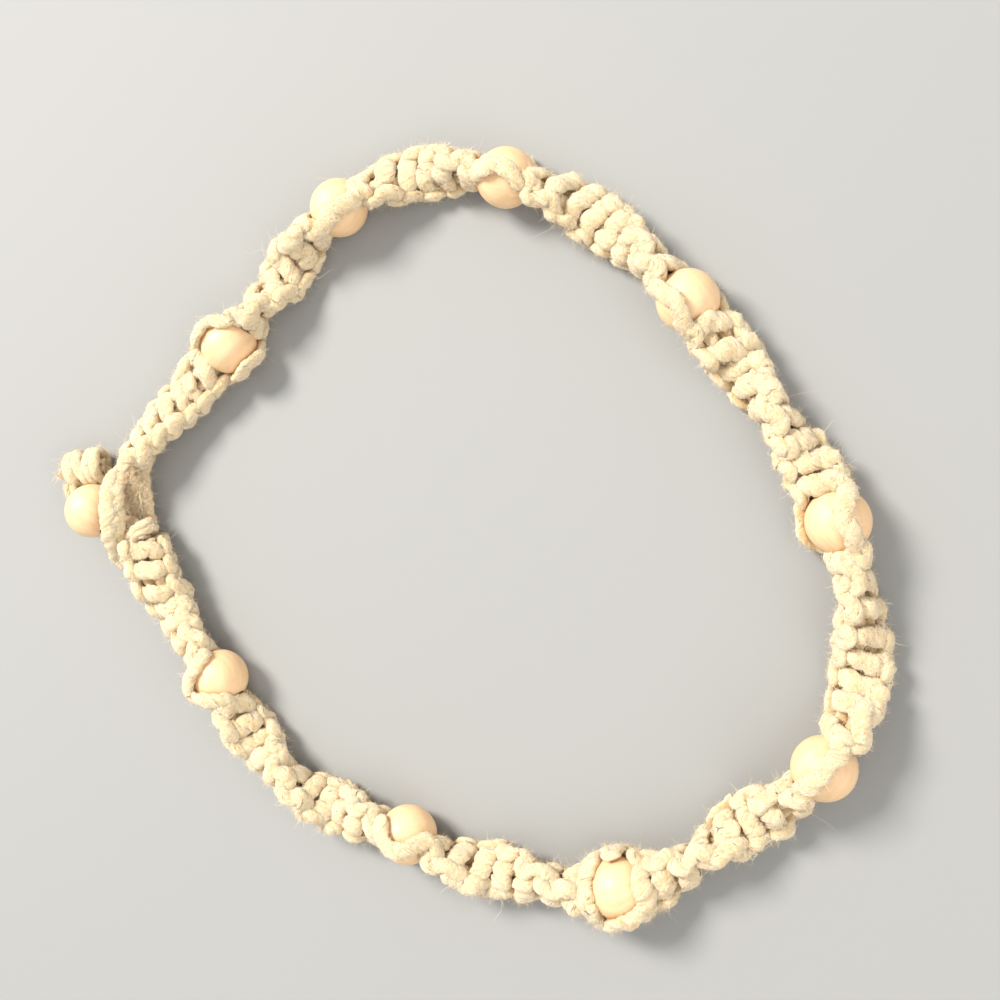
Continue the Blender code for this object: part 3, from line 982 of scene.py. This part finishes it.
    def bundle(self, route: list[Array], spread: float, flare: float = 1.0) -> list[Strand]:
        """The four cord ends along a route, twisted round each other.

        Each lies a spread away from the route, at an angle that grows by one radian in every
        end_twist; the spread grows to flare times as much with the cube of the way along.

        Args:
            route: chosen points.
            spread: distance of each end from the route.
            flare: times the spread has grown at the route's end.

        Returns:
            The four ends.
        """
        curve, lengths, _ = smooth_curve(np.array(route), self.cord.step)
        heading = unit(np.gradient(curve, axis=0))
        level = self.level_side(heading)
        upper = np.cross(heading, level)
        share = (lengths / lengths[-1])[:, None] ** 3
        size = np.full(len(curve), self.end_radius)
        painted_crevice_shade = np.full(len(curve), self.end_painted_shade)
        strands = []
        for quarter in range(4):
            angle = (quarter + 0.5) * math.pi / 2 + lengths[:, None] / self.end_twist
            out = np.cos(angle) * level + np.sin(angle) * upper
            points = curve + spread * (1 + (flare - 1) * share) * out
            points[:, 2] = np.maximum(points[:, 2], self.end_radius)
            strands.append(Strand(points, out, size, size, painted_crevice_shade))
        return strands

    def wound(self, coil: Coil) -> Strand:
        """A coil's cord.

        At the angle t it lies radius times cos t to the side of the axis and radius times sin t
        above it, and along the axis it goes from one stop to the next in each half turn.

        Args:
            coil: its place and sizes.

        Returns:
            The cord.
        """
        t = np.arange(len(coil.stops)) * math.pi
        fine = np.arange(0, t[-1], self.cord.step / max(coil.radii))
        share = np.interp(fine, t, coil.stops) - 0.5
        axis = level_way(coil.heading)
        side = np.array([-axis[1], axis[0], 0])
        out = np.cos(fine)[:, None] * side + np.sin(fine)[:, None] * np.array([0, 0, 1.0])
        points = self.line.shift() + coil.centre + coil.reach * share[:, None] * axis
        points = points + coil.radii[0] * np.cos(fine)[:, None] * side
        points[:, 2] += coil.radii[1] * np.sin(fine)
        wide, thick = np.full(len(fine), coil.half_width), np.full(len(fine), self.wrap_radius)
        return Strand(points, out, wide, thick, np.zeros(len(fine)))

    def through_toggle(self) -> list[Strand]:
        """The cord ends from the last knot through the toggle bead.

        Returns:
            The four ends.
        """
        shift = self.line.shift()
        axis = level_way(TOGGLE_HEADING)
        bead = np.array([*TOGGLE_CENTRE, BEAD_RADIUS]) + shift
        last = self.line.frame(self.line.lengths[-1:])[0][0]
        beyond = bead + self.past_toggle * axis + self.past_shift
        return self.bundle([last, *(np.array(TOGGLE_APPROACH) + shift), bead - BEAD_FACE * axis, bead,
                            bead + BEAD_FACE * axis, beyond], self.ends_spread)

    def knot_core(self) -> list[Strand]:
        """The cord ends inside the trimmed knot and their cut tips beyond it.

        Returns:
            The four ends, which fan out.
        """
        knot = np.array(self.knot_centre) + self.line.shift()
        way = level_way(self.knot_heading)
        before, after = self.core_reach
        tip = knot - (after + self.cut_end_length) * way + self.tip_shift
        return self.bundle([knot + before * way, knot, knot - after * way, tip], self.core_spread,
                           self.core_flare)

    def build(self, finish: bpy.types.Material) -> tuple[list[Strand], list[Strand], list[Strand]]:
        """Makes the loop and the cord ends.

        Args:
            finish: the cords' material.

        Returns:
            The cords, the worn ones among them with the loose yarns, and the cut ends.
        """
        rng = np.random.default_rng(self.seed)
        loop = self.loop_strands()
        yarns = self.loose_yarns(rng)
        skins = [self.cord.surface(strand, rng) for strand in [*loop, *yarns]]
        add_piece("loop_cords", skins, finish, ("clasp_loop",))
        ends = self.through_toggle()
        core = self.knot_core()
        coils = [self.wound(self.trimmed_knot()), self.wound(self.last_wrap())]
        skins = [self.cord.surface(strand, rng) for strand in [*ends, *core, *coils]]
        add_piece("toggle_cords", skins, finish, ("toggle_cord",))
        count = len(loop[0].points)
        worn = [strand.cut(np.arange(int(self.worn_from * count), count)) for strand in loop]
        return [*loop, *ends, *coils], [*worn, *yarns], core


@dataclass(frozen=True)
class FibreLayer:
    """Fibres of one kind.

    Attributes:
        count: number of fibres.
        length: usual length of one.
        curl: strength of the bend, as a share of the length.
        lift: share of the way out of the skin in the direction a fibre leaves in.
        points: points along one.
    """

    count: int
    length: float
    curl: float
    lift: float
    points: int = 4


@dataclass
class LooseFibres:
    """Fibres that stand off the cords: flat tapering ribbons, most short and a few long."""

    half_width: float = 0.00003
    around: float = 1.0
    felt: FibreLayer = FibreLayer(11000, 0.00055, 0.8, 0.16)
    halo: FibreLayer = FibreLayer(28000, 0.0003, 1.0, 0.7, points=3)
    stray: FibreLayer = FibreLayer(90, 0.0014, 0.9, 0.9, points=10)
    clasp: FibreLayer = FibreLayer(5000, 0.0004, 1.0, 0.7)
    worn: FibreLayer = FibreLayer(2600, 0.0010, 0.9, 0.45)
    tuft: FibreLayer = FibreLayer(1500, 0.0006, 0.9, 0.6)
    tuft_points: int = 12
    root_depth: float = 0.88
    lengthwise: tuple[float, float] = (0.2, 1.2)
    lift_range: tuple[float, float] = (0.4, 1.6)
    scatter: float = 0.35
    length_spread: float = 0.4
    length_range: tuple[float, float] = (-1, 0.6)
    sway: float = 0.28
    sway_pace: float = 5
    tip_gap: float = 0.00002
    facing_scatter: float = 0.7
    taper: float = 0.7
    pattern_spread: float = 500
    seed: int = 31

    def ribbons(self, strands: list[Strand], layer: FibreLayer, rng: np.random.Generator) -> Array:
        """Ribbons that leave the cords' skin.

        Each starts just inside the skin and leaves along a mix of the cord's heading, the way out
        of the of the skin and a random one; with t from 0 to 1 along it, it bends by curl t^2 and sways
        with the sine of sway_pace t, and it never goes under the surface the necklace lies on.

        Args:
            strands: cords that carry the fibres.
            layer: their number, length and bend.
            rng: source of their places and directions.

        Returns:
            Points, by fibre, by place along it and by side.
        """
        count = layer.count
        points = np.concatenate([s.points for s in strands])
        heading = np.concatenate([unit(np.gradient(s.points, axis=0)) for s in strands])
        outward = np.concatenate([unit(s.outward) for s in strands])
        wide = np.concatenate([s.half_width for s in strands])[:, None]
        thick = np.concatenate([s.half_thickness for s in strands])[:, None]
        pick = rng.integers(0, len(points), count)
        heading, outward, wide, thick = heading[pick], outward[pick], wide[pick], thick[pick]
        outward = unit(outward - (outward * heading).sum(1, keepdims=True) * heading)
        side = np.cross(heading, outward)
        phi = rng.normal(0, self.around, (count, 1))
        normal = np.cos(phi) * outward + np.sin(phi) * side
        skin = thick * np.cos(phi) * outward + wide * np.sin(phi) * side
        root = points[pick] + self.root_depth * skin
        way = heading * rng.choice([-1, 1], (count, 1)) * rng.uniform(*self.lengthwise, (count, 1))
        way = way + layer.lift * normal * rng.uniform(*self.lift_range, (count, 1))
        way = unit(way + rng.normal(0, self.scatter, (count, 3)))
        spread = np.clip(rng.normal(0, self.length_spread, (count, 1, 1)), *self.length_range)
        reach = layer.length * np.exp(spread)
        share = np.linspace(0, 1, layer.points)[None, :, None]
        bend = layer.curl * rng.normal(size=(count, 1, 3))
        sway = self.sway * layer.curl * rng.normal(size=(count, 1, 3))
        offset = share * way[:, None] + share**2 * bend + np.sin(self.sway_pace * share) * sway
        middle = root[:, None] + reach * offset
        middle[..., 2] = np.maximum(middle[..., 2], FLOOR_GAP + self.tip_gap * share[..., 0])
        ahead = unit(np.gradient(middle, axis=1))
        facing = rng.normal(0, self.facing_scatter, (count, 1, 3)) + (0, 0, 1.0)
        flat = unit(np.cross(ahead, facing))
        half = self.half_width * (1 - self.taper * share)
        return np.stack([middle - half * flat, middle + half * flat], 2)

    def add(self, name: str, layers: list[Array], finish: bpy.types.Material,
            rng: np.random.Generator) -> None:
        """Makes one piece of many ribbons, each a row of four-sided faces.

        Args:
            name: the piece's name.
            layers: its ribbons, as ribbons gives them.
            finish: the fibres' material.
            rng: source of their tones.
        """
        quads, patterns = [], []
        offset = 0
        for ribbons in layers:
            count, rows = ribbons.shape[:2]
            base = offset + (np.arange(count) * rows * 2)[:, None, None]
            quads.append((base + np.arange(rows - 1)[:, None] * 2 + np.array([0, 1, 3, 2])).reshape(-1, 4))
            pattern = np.zeros((count, rows, 2, 3))
            pattern[..., 0] = rng.uniform(0, self.pattern_spread, (count, 1, 1))
            patterns.append(pattern.reshape(-1, 3))
            offset += count * rows * 2
        mesh = bpy.data.meshes.new(name)
        points = np.concatenate([ribbons.reshape(-1, 3) for ribbons in layers])
        mesh.from_pydata(points, [], np.concatenate(quads))
        add_pattern(mesh, np.concatenate(patterns))
        piece = new_piece(name, mesh, finish)
        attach(piece, "root")
        LOG.info("%s: %d fibres", name, sum(len(ribbons) for ribbons in layers))

    def build(self, cords: list[Strand], clasp: list[Strand], worn: list[Strand],
              cut_ends: list[Strand], finish: bpy.types.Material) -> None:
        """Makes the fibres of the knotted band, of the clasp and of the cut ends.

        Args:
            cords: the band's working cords.
            clasp: the clasp's cords.
            worn: its worn cords and loose yarns.
            cut_ends: the cords with cut tips.
            finish: the fibres' material.
        """
        rng = np.random.default_rng(self.seed)
        for number, cord in enumerate(cords, 1):
            layers = [self.ribbons([cord], layer, rng) for layer in (self.felt, self.halo, self.stray)]
            self.add(f"loose_fibres_{number}", layers, finish, rng)
        tips = [strand.cut(np.arange(-self.tuft_points, 0)) for strand in cut_ends]
        kinds = [(clasp, self.clasp), (worn, self.worn), (tips, self.tuft)]
        self.add("clasp_fibres", [self.ribbons(*kind, rng) for kind in kinds], finish, rng)


@dataclass(frozen=True)
class Tint:
    """A colour, as red, green and blue from 0 to 1."""

    red: float
    green: float
    blue: float

    def rgb(self) -> Vector:
        """The colour alone."""
        return (self.red, self.green, self.blue)

    def rgba(self) -> tuple[float, float, float, float]:
        """The colour with full cover."""
        return (*self.rgb(), 1.0)


class NodeTree:
    """Adds and links the nodes of one material or group."""

    def __init__(self, tree: bpy.types.NodeTree) -> None:
        """Keeps the tree that the nodes go into."""
        self.tree = tree

    def add(self, kind: str, **settings: object) -> bpy.types.Node:
        """Adds a node.

        Args:
            kind: the node's type.
            settings: properties to set on it.

        Returns:
            The node.
        """
        node = self.tree.nodes.new(kind)
        for key, value in settings.items():
            setattr(node, key, value)
        return node

    def put(self, target: bpy.types.NodeSocket, value: object) -> None:
        """Links a socket to another one, or sets it.

        Args:
            target: the socket.
            value: an output socket, or a plain value.
        """
        if isinstance(value, bpy.types.NodeSocket):
            self.tree.links.new(value, target)
        else:
            target.default_value = value

    def filled(self, node: bpy.types.Node, values: dict[str | int, object]) -> bpy.types.Node:
        """Puts values into a node's inputs.

        Args:
            node: the node.
            values: a value or socket for each input's name or number.

        Returns:
            The node.
        """
        for key, value in values.items():
            self.put(node.inputs[key], value)
        return node

    def maths(self, operation: str, first: object, second: object) -> bpy.types.NodeSocket:
        """Result of a Math node."""
        node = self.add("ShaderNodeMath", operation=operation)
        return self.filled(node, {0: first, 1: second}).outputs[0]

    def stretched(self, vector: bpy.types.NodeSocket, scale: object) -> bpy.types.NodeSocket:
        """A vector times another, part by part."""
        node = self.add("ShaderNodeVectorMath", operation="MULTIPLY")
        return self.filled(node, {0: vector, 1: scale}).outputs["Vector"]

    def noise(self, vector: bpy.types.NodeSocket, detail: float = 3.0,
              rough: float = 0.6) -> bpy.types.NodeSocket:
        """Value of a Noise Texture at scale one."""
        values = {"Vector": vector, "Scale": 1.0, "Detail": detail, "Roughness": rough}
        return self.filled(self.add("ShaderNodeTexNoise"), values).outputs["Fac"]

    def between(self, value: bpy.types.NodeSocket,
                limits: tuple[float, float]) -> bpy.types.NodeSocket:
        """Smooth rise from 0 to 1 as a value goes from the lower to the upper limit.

        Args:
            value: the value.
            limits: the two limits.

        Returns:
            The rise.
        """
        low, high = limits
        node = self.add("ShaderNodeMapRange", interpolation_type="SMOOTHSTEP")
        self.filled(node, {"Value": value, "From Min": low, "From Max": high})
        return node.outputs["Result"]

    def weighed(self, parts: list[tuple[bpy.types.NodeSocket, tuple[float, float], float]]
                ) -> bpy.types.NodeSocket:
        """Sum of several values, each as a smooth rise between its limits times its weight.

        Args:
            parts: value, limits and weight of each.

        Returns:
            The sum.
        """
        total = None
        for value, limits, weight in parts:
            share = self.maths("MULTIPLY", self.between(value, limits), weight)
            total = share if total is None else self.maths("ADD", total, share)
        return total

    def mixed(self, share: object, first: object, second: object) -> bpy.types.NodeSocket:
        """Mix of two colours."""
        node = self.add("ShaderNodeMix", data_type="RGBA")
        return self.filled(node, {0: share, 6: first, 7: second}).outputs[2]

    def attribute(self, name: str, output: str) -> bpy.types.NodeSocket:
        """A mesh attribute, as a vector or a value."""
        return self.add("ShaderNodeAttribute", attribute_name=name).outputs[output]

    def streaks(self, group: bpy.types.NodeTree, pattern: bpy.types.NodeSocket, fine: Vector,
                broad: Vector) -> tuple[bpy.types.NodeSocket, bpy.types.NodeSocket]:
        """The shared streaks, at a finish's own scales.

        Args:
            group: the node group.
            pattern: pattern coordinates.
            fine: scales of the fine streaks.
            broad: scales of the broad patches.

        Returns:
            Fine streaks and broad patches, each from 0 to 1.
        """
        node = self.add("ShaderNodeGroup", node_tree=group)
        self.filled(node, {"Pattern": pattern, "Fine": fine, "Broad": broad})
        return node.outputs["Streaks"], node.outputs["Patches"]

    def bump(self, height: bpy.types.NodeSocket, strength: float, depth: float) -> bpy.types.NodeSocket:
        """Normal of a surface raised by a height."""
        values = {"Strength": strength, "Distance": depth, "Height": height}
        return self.filled(self.add("ShaderNodeBump"), values).outputs["Normal"]


def new_finish(name: str) -> tuple[bpy.types.Material, NodeTree, bpy.types.Node]:
    """A new material.

    Args:
        name: its name.

    Returns:
        The material, its nodes and its shader.
    """
    finish = bpy.data.materials.new(name)
    finish.use_nodes = True
    return finish, NodeTree(finish.node_tree), finish.node_tree.nodes["Principled BSDF"]


def streak_group() -> bpy.types.NodeTree:
    """Group of long streaks that run with a piece's grain, used by the hemp and the wood.

    Returns:
        The node group.
    """
    group = bpy.data.node_groups.new("grain_streaks", "ShaderNodeTree")
    for name in ("Pattern", "Fine", "Broad"):
        group.interface.new_socket(name, in_out="INPUT", socket_type="NodeSocketVector")
    for name in ("Streaks", "Patches"):
        group.interface.new_socket(name, in_out="OUTPUT", socket_type="NodeSocketFloat")
    nodes = NodeTree(group)
    start = nodes.add("NodeGroupInput")
    end = nodes.add("NodeGroupOutput")
    fine = nodes.noise(nodes.stretched(start.outputs["Pattern"], start.outputs["Fine"]))
    broad = nodes.noise(nodes.stretched(start.outputs["Pattern"], start.outputs["Broad"]), detail=2.0)
    nodes.filled(end, {"Streaks": fine, "Patches": broad})
    return group


@dataclass(frozen=True)
class HempFinish:
    """Undyed hemp: pale cream fibres with specks, and shade painted in tan between the plies and in the
    knots.

    The limits are the values between which each effect sets in, and the weights its share of tan.
    """

    pale: Tint = Tint(0.89, 0.75, 0.50)
    # tan serves both the hemp's own streaks and patches and the painted shade
    tan: Tint = Tint(0.76, 0.52, 0.24)
    speck: Tint = Tint(0.34, 0.22, 0.12)
    fine: Vector = (0.8, 4.5, 4.5)
    broad: Vector = (0.22, 1.1, 1.1)
    speck_scale: Vector = (1.1, 3.2, 3.2)
    felt_scale: float = 1900.0
    # painted shade: where the shade attribute mixes tan in, and how much
    painted_shade_limits: tuple[float, float] = (0.25, 0.9)
    painted_shade_weight: float = 0.75
    streak_limits: tuple[float, float] = (0.42, 0.70)
    streak_weight: float = 0.4
    felt_limits: tuple[float, float] = (0.42, 0.66)
    felt_weight: float = 0.55
    patch_limits: tuple[float, float] = (0.45, 0.72)
    patch_weight: float = 0.40
    speck_limits: tuple[float, float] = (0.68, 0.73)
    roughness: float = 0.85
    sheen: float = 0.5
    glow_through: float = 0.35
    glow_radius: Vector = (1.0, 0.8, 0.5)
    glow_depth: float = 0.0008
    bump_strength: float = 0.9
    bump_depth: float = 0.0006
    streak_height: float = 0.6

    def material(self, group: bpy.types.NodeTree) -> bpy.types.Material:
        """Builds the cords' material.

        Args:
            group: the shared streaks.

        Returns:
            The material.
        """
        finish, nodes, shader = new_finish("hemp_cord")
        pattern = nodes.attribute("pattern", "Vector")
        shade = nodes.attribute("shade", "Fac")
        fine, patches = nodes.streaks(group, pattern, self.fine, self.broad)
        place = nodes.add("ShaderNodeTexCoord").outputs["Object"]
        felt = nodes.noise(nodes.stretched(place, (self.felt_scale,) * 3), detail=4.0, rough=0.7)
        # the tone mixes tan in for the painted shade and for the hemp's own streaks, mottle and patches
        tone = nodes.weighed([(shade, self.painted_shade_limits, self.painted_shade_weight),
                              (fine, self.streak_limits, self.streak_weight),
                              (felt, self.felt_limits, self.felt_weight),
                              (patches, self.patch_limits, self.patch_weight)])
        colour = nodes.mixed(nodes.maths("MINIMUM", tone, 1.0), self.pale.rgba(), self.tan.rgba())
        spots = nodes.noise(nodes.stretched(pattern, self.speck_scale), detail=1.0)
        colour = nodes.mixed(nodes.between(spots, self.speck_limits), colour, self.speck.rgba())
        height = nodes.maths("ADD", nodes.maths("MULTIPLY", fine, self.streak_height), felt)
        nodes.filled(shader, {
            "Base Color": colour,
            "Roughness": self.roughness,
            "Sheen Weight": self.sheen,
            "Subsurface Weight": self.glow_through,
            "Subsurface Radius": self.glow_radius,
            "Subsurface Scale": self.glow_depth,
            "Normal": nodes.bump(height, self.bump_strength, self.bump_depth),
        })
        return finish


@dataclass(frozen=True)
class FibreFinish:
    """Single loose hemp fibres: pale and dull."""

    pale: Tint = Tint(0.91, 0.80, 0.58)
    tan: Tint = Tint(0.60, 0.42, 0.23)
    tan_limits: tuple[float, float] = (0.35, 0.65)
    roughness: float = 0.7

    def material(self) -> bpy.types.Material:
        """Builds the loose fibres' material.

        Returns:
            The material.
        """
        finish, nodes, shader = new_finish("hemp_fibre")
        tone = nodes.between(nodes.noise(nodes.attribute("pattern", "Vector")), self.tan_limits)
        colour = nodes.mixed(tone, self.pale.rgba(), self.tan.rgba())
        nodes.filled(shader, {"Base Color": colour, "Roughness": self.roughness})
        return finish


@dataclass(frozen=True)
class WoodFinish:
    """Smooth turned wood: pale peach with a faint straight grain and a satin coat, and shade painted dark
    inside the bore.

    The limits are the values between which each effect sets in, and the weights its share of dark.
    """

    pale: Tint = Tint(0.84, 0.585, 0.335)
    dark: Tint = Tint(0.71, 0.40, 0.18)
    # bore: painted shade inside the bore
    bore: Tint = Tint(0.20, 0.11, 0.06)
    fine: Vector = (0.25, 5.0, 5.0)
    broad: Vector = (0.08, 0.5, 0.9)
    streak_limits: tuple[float, float] = (0.45, 0.8)
    streak_weight: float = 0.3
    patch_limits: tuple[float, float] = (0.35, 0.75)
    patch_weight: float = 0.4
    bore_shade_limits: tuple[float, float] = (0.2, 1.0)
    roughness: float = 0.42
    rough_streaks: float = 0.2
    coat: float = 0.12
    coat_roughness: float = 0.35
    bump_strength: float = 0.25
    bump_depth: float = 0.00003

    def material(self, group: bpy.types.NodeTree) -> bpy.types.Material:
        """Builds the beads' material.

        Args:
            group: the shared streaks.

        Returns:
            The material.
        """
        finish, nodes, shader = new_finish("turned_wood")
        pattern = nodes.attribute("pattern", "Vector")
        shade = nodes.attribute("shade", "Fac")
        fine, patches = nodes.streaks(group, pattern, self.fine, self.broad)
        tone = nodes.weighed([(fine, self.streak_limits, self.streak_weight),
                              (patches, self.patch_limits, self.patch_weight)])
        colour = nodes.mixed(tone, self.pale.rgba(), self.dark.rgba())
        # painted shade: the bore darkens to the bore tint
        colour = nodes.mixed(nodes.between(shade, self.bore_shade_limits), colour, self.bore.rgba())
        uneven = nodes.maths("MULTIPLY", fine, self.rough_streaks)
        nodes.filled(shader, {
            "Base Color": colour,
            "Roughness": nodes.maths("ADD", uneven, self.roughness),
            "Coat Weight": self.coat,
            "Coat Roughness": self.coat_roughness,
            "Normal": nodes.bump(fine, self.bump_strength, self.bump_depth),
        })
        return finish


@dataclass(frozen=True)
class SoftLight:
    """A square soft light aimed at the middle of the necklace."""

    name: str
    place: Vector
    size: float
    power: float
    tint: Tint

    def build(self) -> None:
        """Hangs the light."""
        lamp = bpy.data.lights.new(self.name, "AREA")
        lamp.size = self.size
        lamp.energy = self.power
        lamp.color = self.tint.rgb()
        holder = bpy.data.objects.new(self.name, lamp)
        holder.location = self.place
        x, y, z = self.place
        holder.rotation_euler = (0, math.acos(z / np.linalg.norm(self.place)), math.atan2(y, x))
        bpy.context.scene.collection.objects.link(holder)


@dataclass
class Studio:
    """Pale floor, soft lights, and the camera at the photograph's angle."""

    camera_place: Vector = (0.0650, 0.0, 0.1931)
    camera_tilt: float = math.radians(18.6)
    lens: float = 43.2
    clip_start: float = 0.01
    clip_end: float = 5.0
    floor_half: float = 3.0
    floor_tint: Tint = Tint(0.31, 0.31, 0.30)
    floor_roughness: float = 0.8
    key: SoftLight = SoftLight("key_light", (-0.62, 0.55, 0.90), 0.40, 24.5, Tint(1.0, 0.97, 0.92))
    fill: SoftLight = SoftLight("fill_light", (0.60, -0.30, 0.60), 0.9, 4.5, Tint(1.0, 0.98, 0.95))
    surroundings: float = 0.74

    def add_floor(self) -> None:
        """Lays a flat square under the necklace."""
        half = self.floor_half
        corners = [(-half, -half, 0), (half, -half, 0), (half, half, 0), (-half, half, 0)]
        mesh = bpy.data.meshes.new("floor")
        mesh.from_pydata(corners, [], [(0, 1, 2, 3)])
        finish, nodes, shader = new_finish("pale_floor")
        colour = self.floor_tint.rgba()
        nodes.filled(shader, {"Base Color": colour, "Roughness": self.floor_roughness})
        mesh.materials.append(finish)
        plane = bpy.data.objects.new("floor", mesh)
        bpy.context.scene.collection.objects.link(plane)

    def add_surroundings(self) -> None:
        """Lights the scene evenly from all round."""
        world = bpy.data.worlds.new("soft_surroundings")
        world.use_nodes = True
        background = world.node_tree.nodes["Background"]
        background.inputs["Color"].default_value = (1.0, 1.0, 1.0, 1.0)
        background.inputs["Strength"].default_value = self.surroundings
        bpy.context.scene.world = world

    def add_camera(self, shift: Array) -> None:
        """Sets up the camera.

        Args:
            shift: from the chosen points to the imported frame.
        """
        camera = bpy.data.cameras.new("camera")
        camera.lens = self.lens
        camera.clip_start = self.clip_start
        camera.clip_end = self.clip_end
        holder = bpy.data.objects.new("camera", camera)
        holder.location = np.array(self.camera_place) + shift
        holder.rotation_euler = (0, self.camera_tilt, 0)
        bpy.context.scene.collection.objects.link(holder)
        bpy.context.scene.camera = holder
        bpy.context.scene.view_settings.view_transform = "Standard"

    def build(self, line: StringLine) -> None:
        """Sets up the floor, the lights, the surrounding light and the camera.

        Args:
            line: the string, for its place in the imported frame.
        """
        self.add_floor()
        self.key.build()
        self.fill.build()
        self.add_surroundings()
        self.add_camera(line.shift())
        LOG.info("studio: floor, two lights and camera")


def main() -> None:
    """Builds the necklace's looks in order."""
    logging.basicConfig(level=logging.INFO, format="%(message)s")
    line = StringLine()
    Studio().build(line)
    group = streak_group()
    hemp = HempFinish().material(group)
    cords = KnottedBand(line).build(hemp)
    Beads(line).build(WoodFinish().material(group))
    clasp, worn, cut_ends = Clasp(line).build(hemp)
    LooseFibres().build(cords, clasp, worn, cut_ends, FibreFinish().material())


if __name__ == "__main__":
    main()
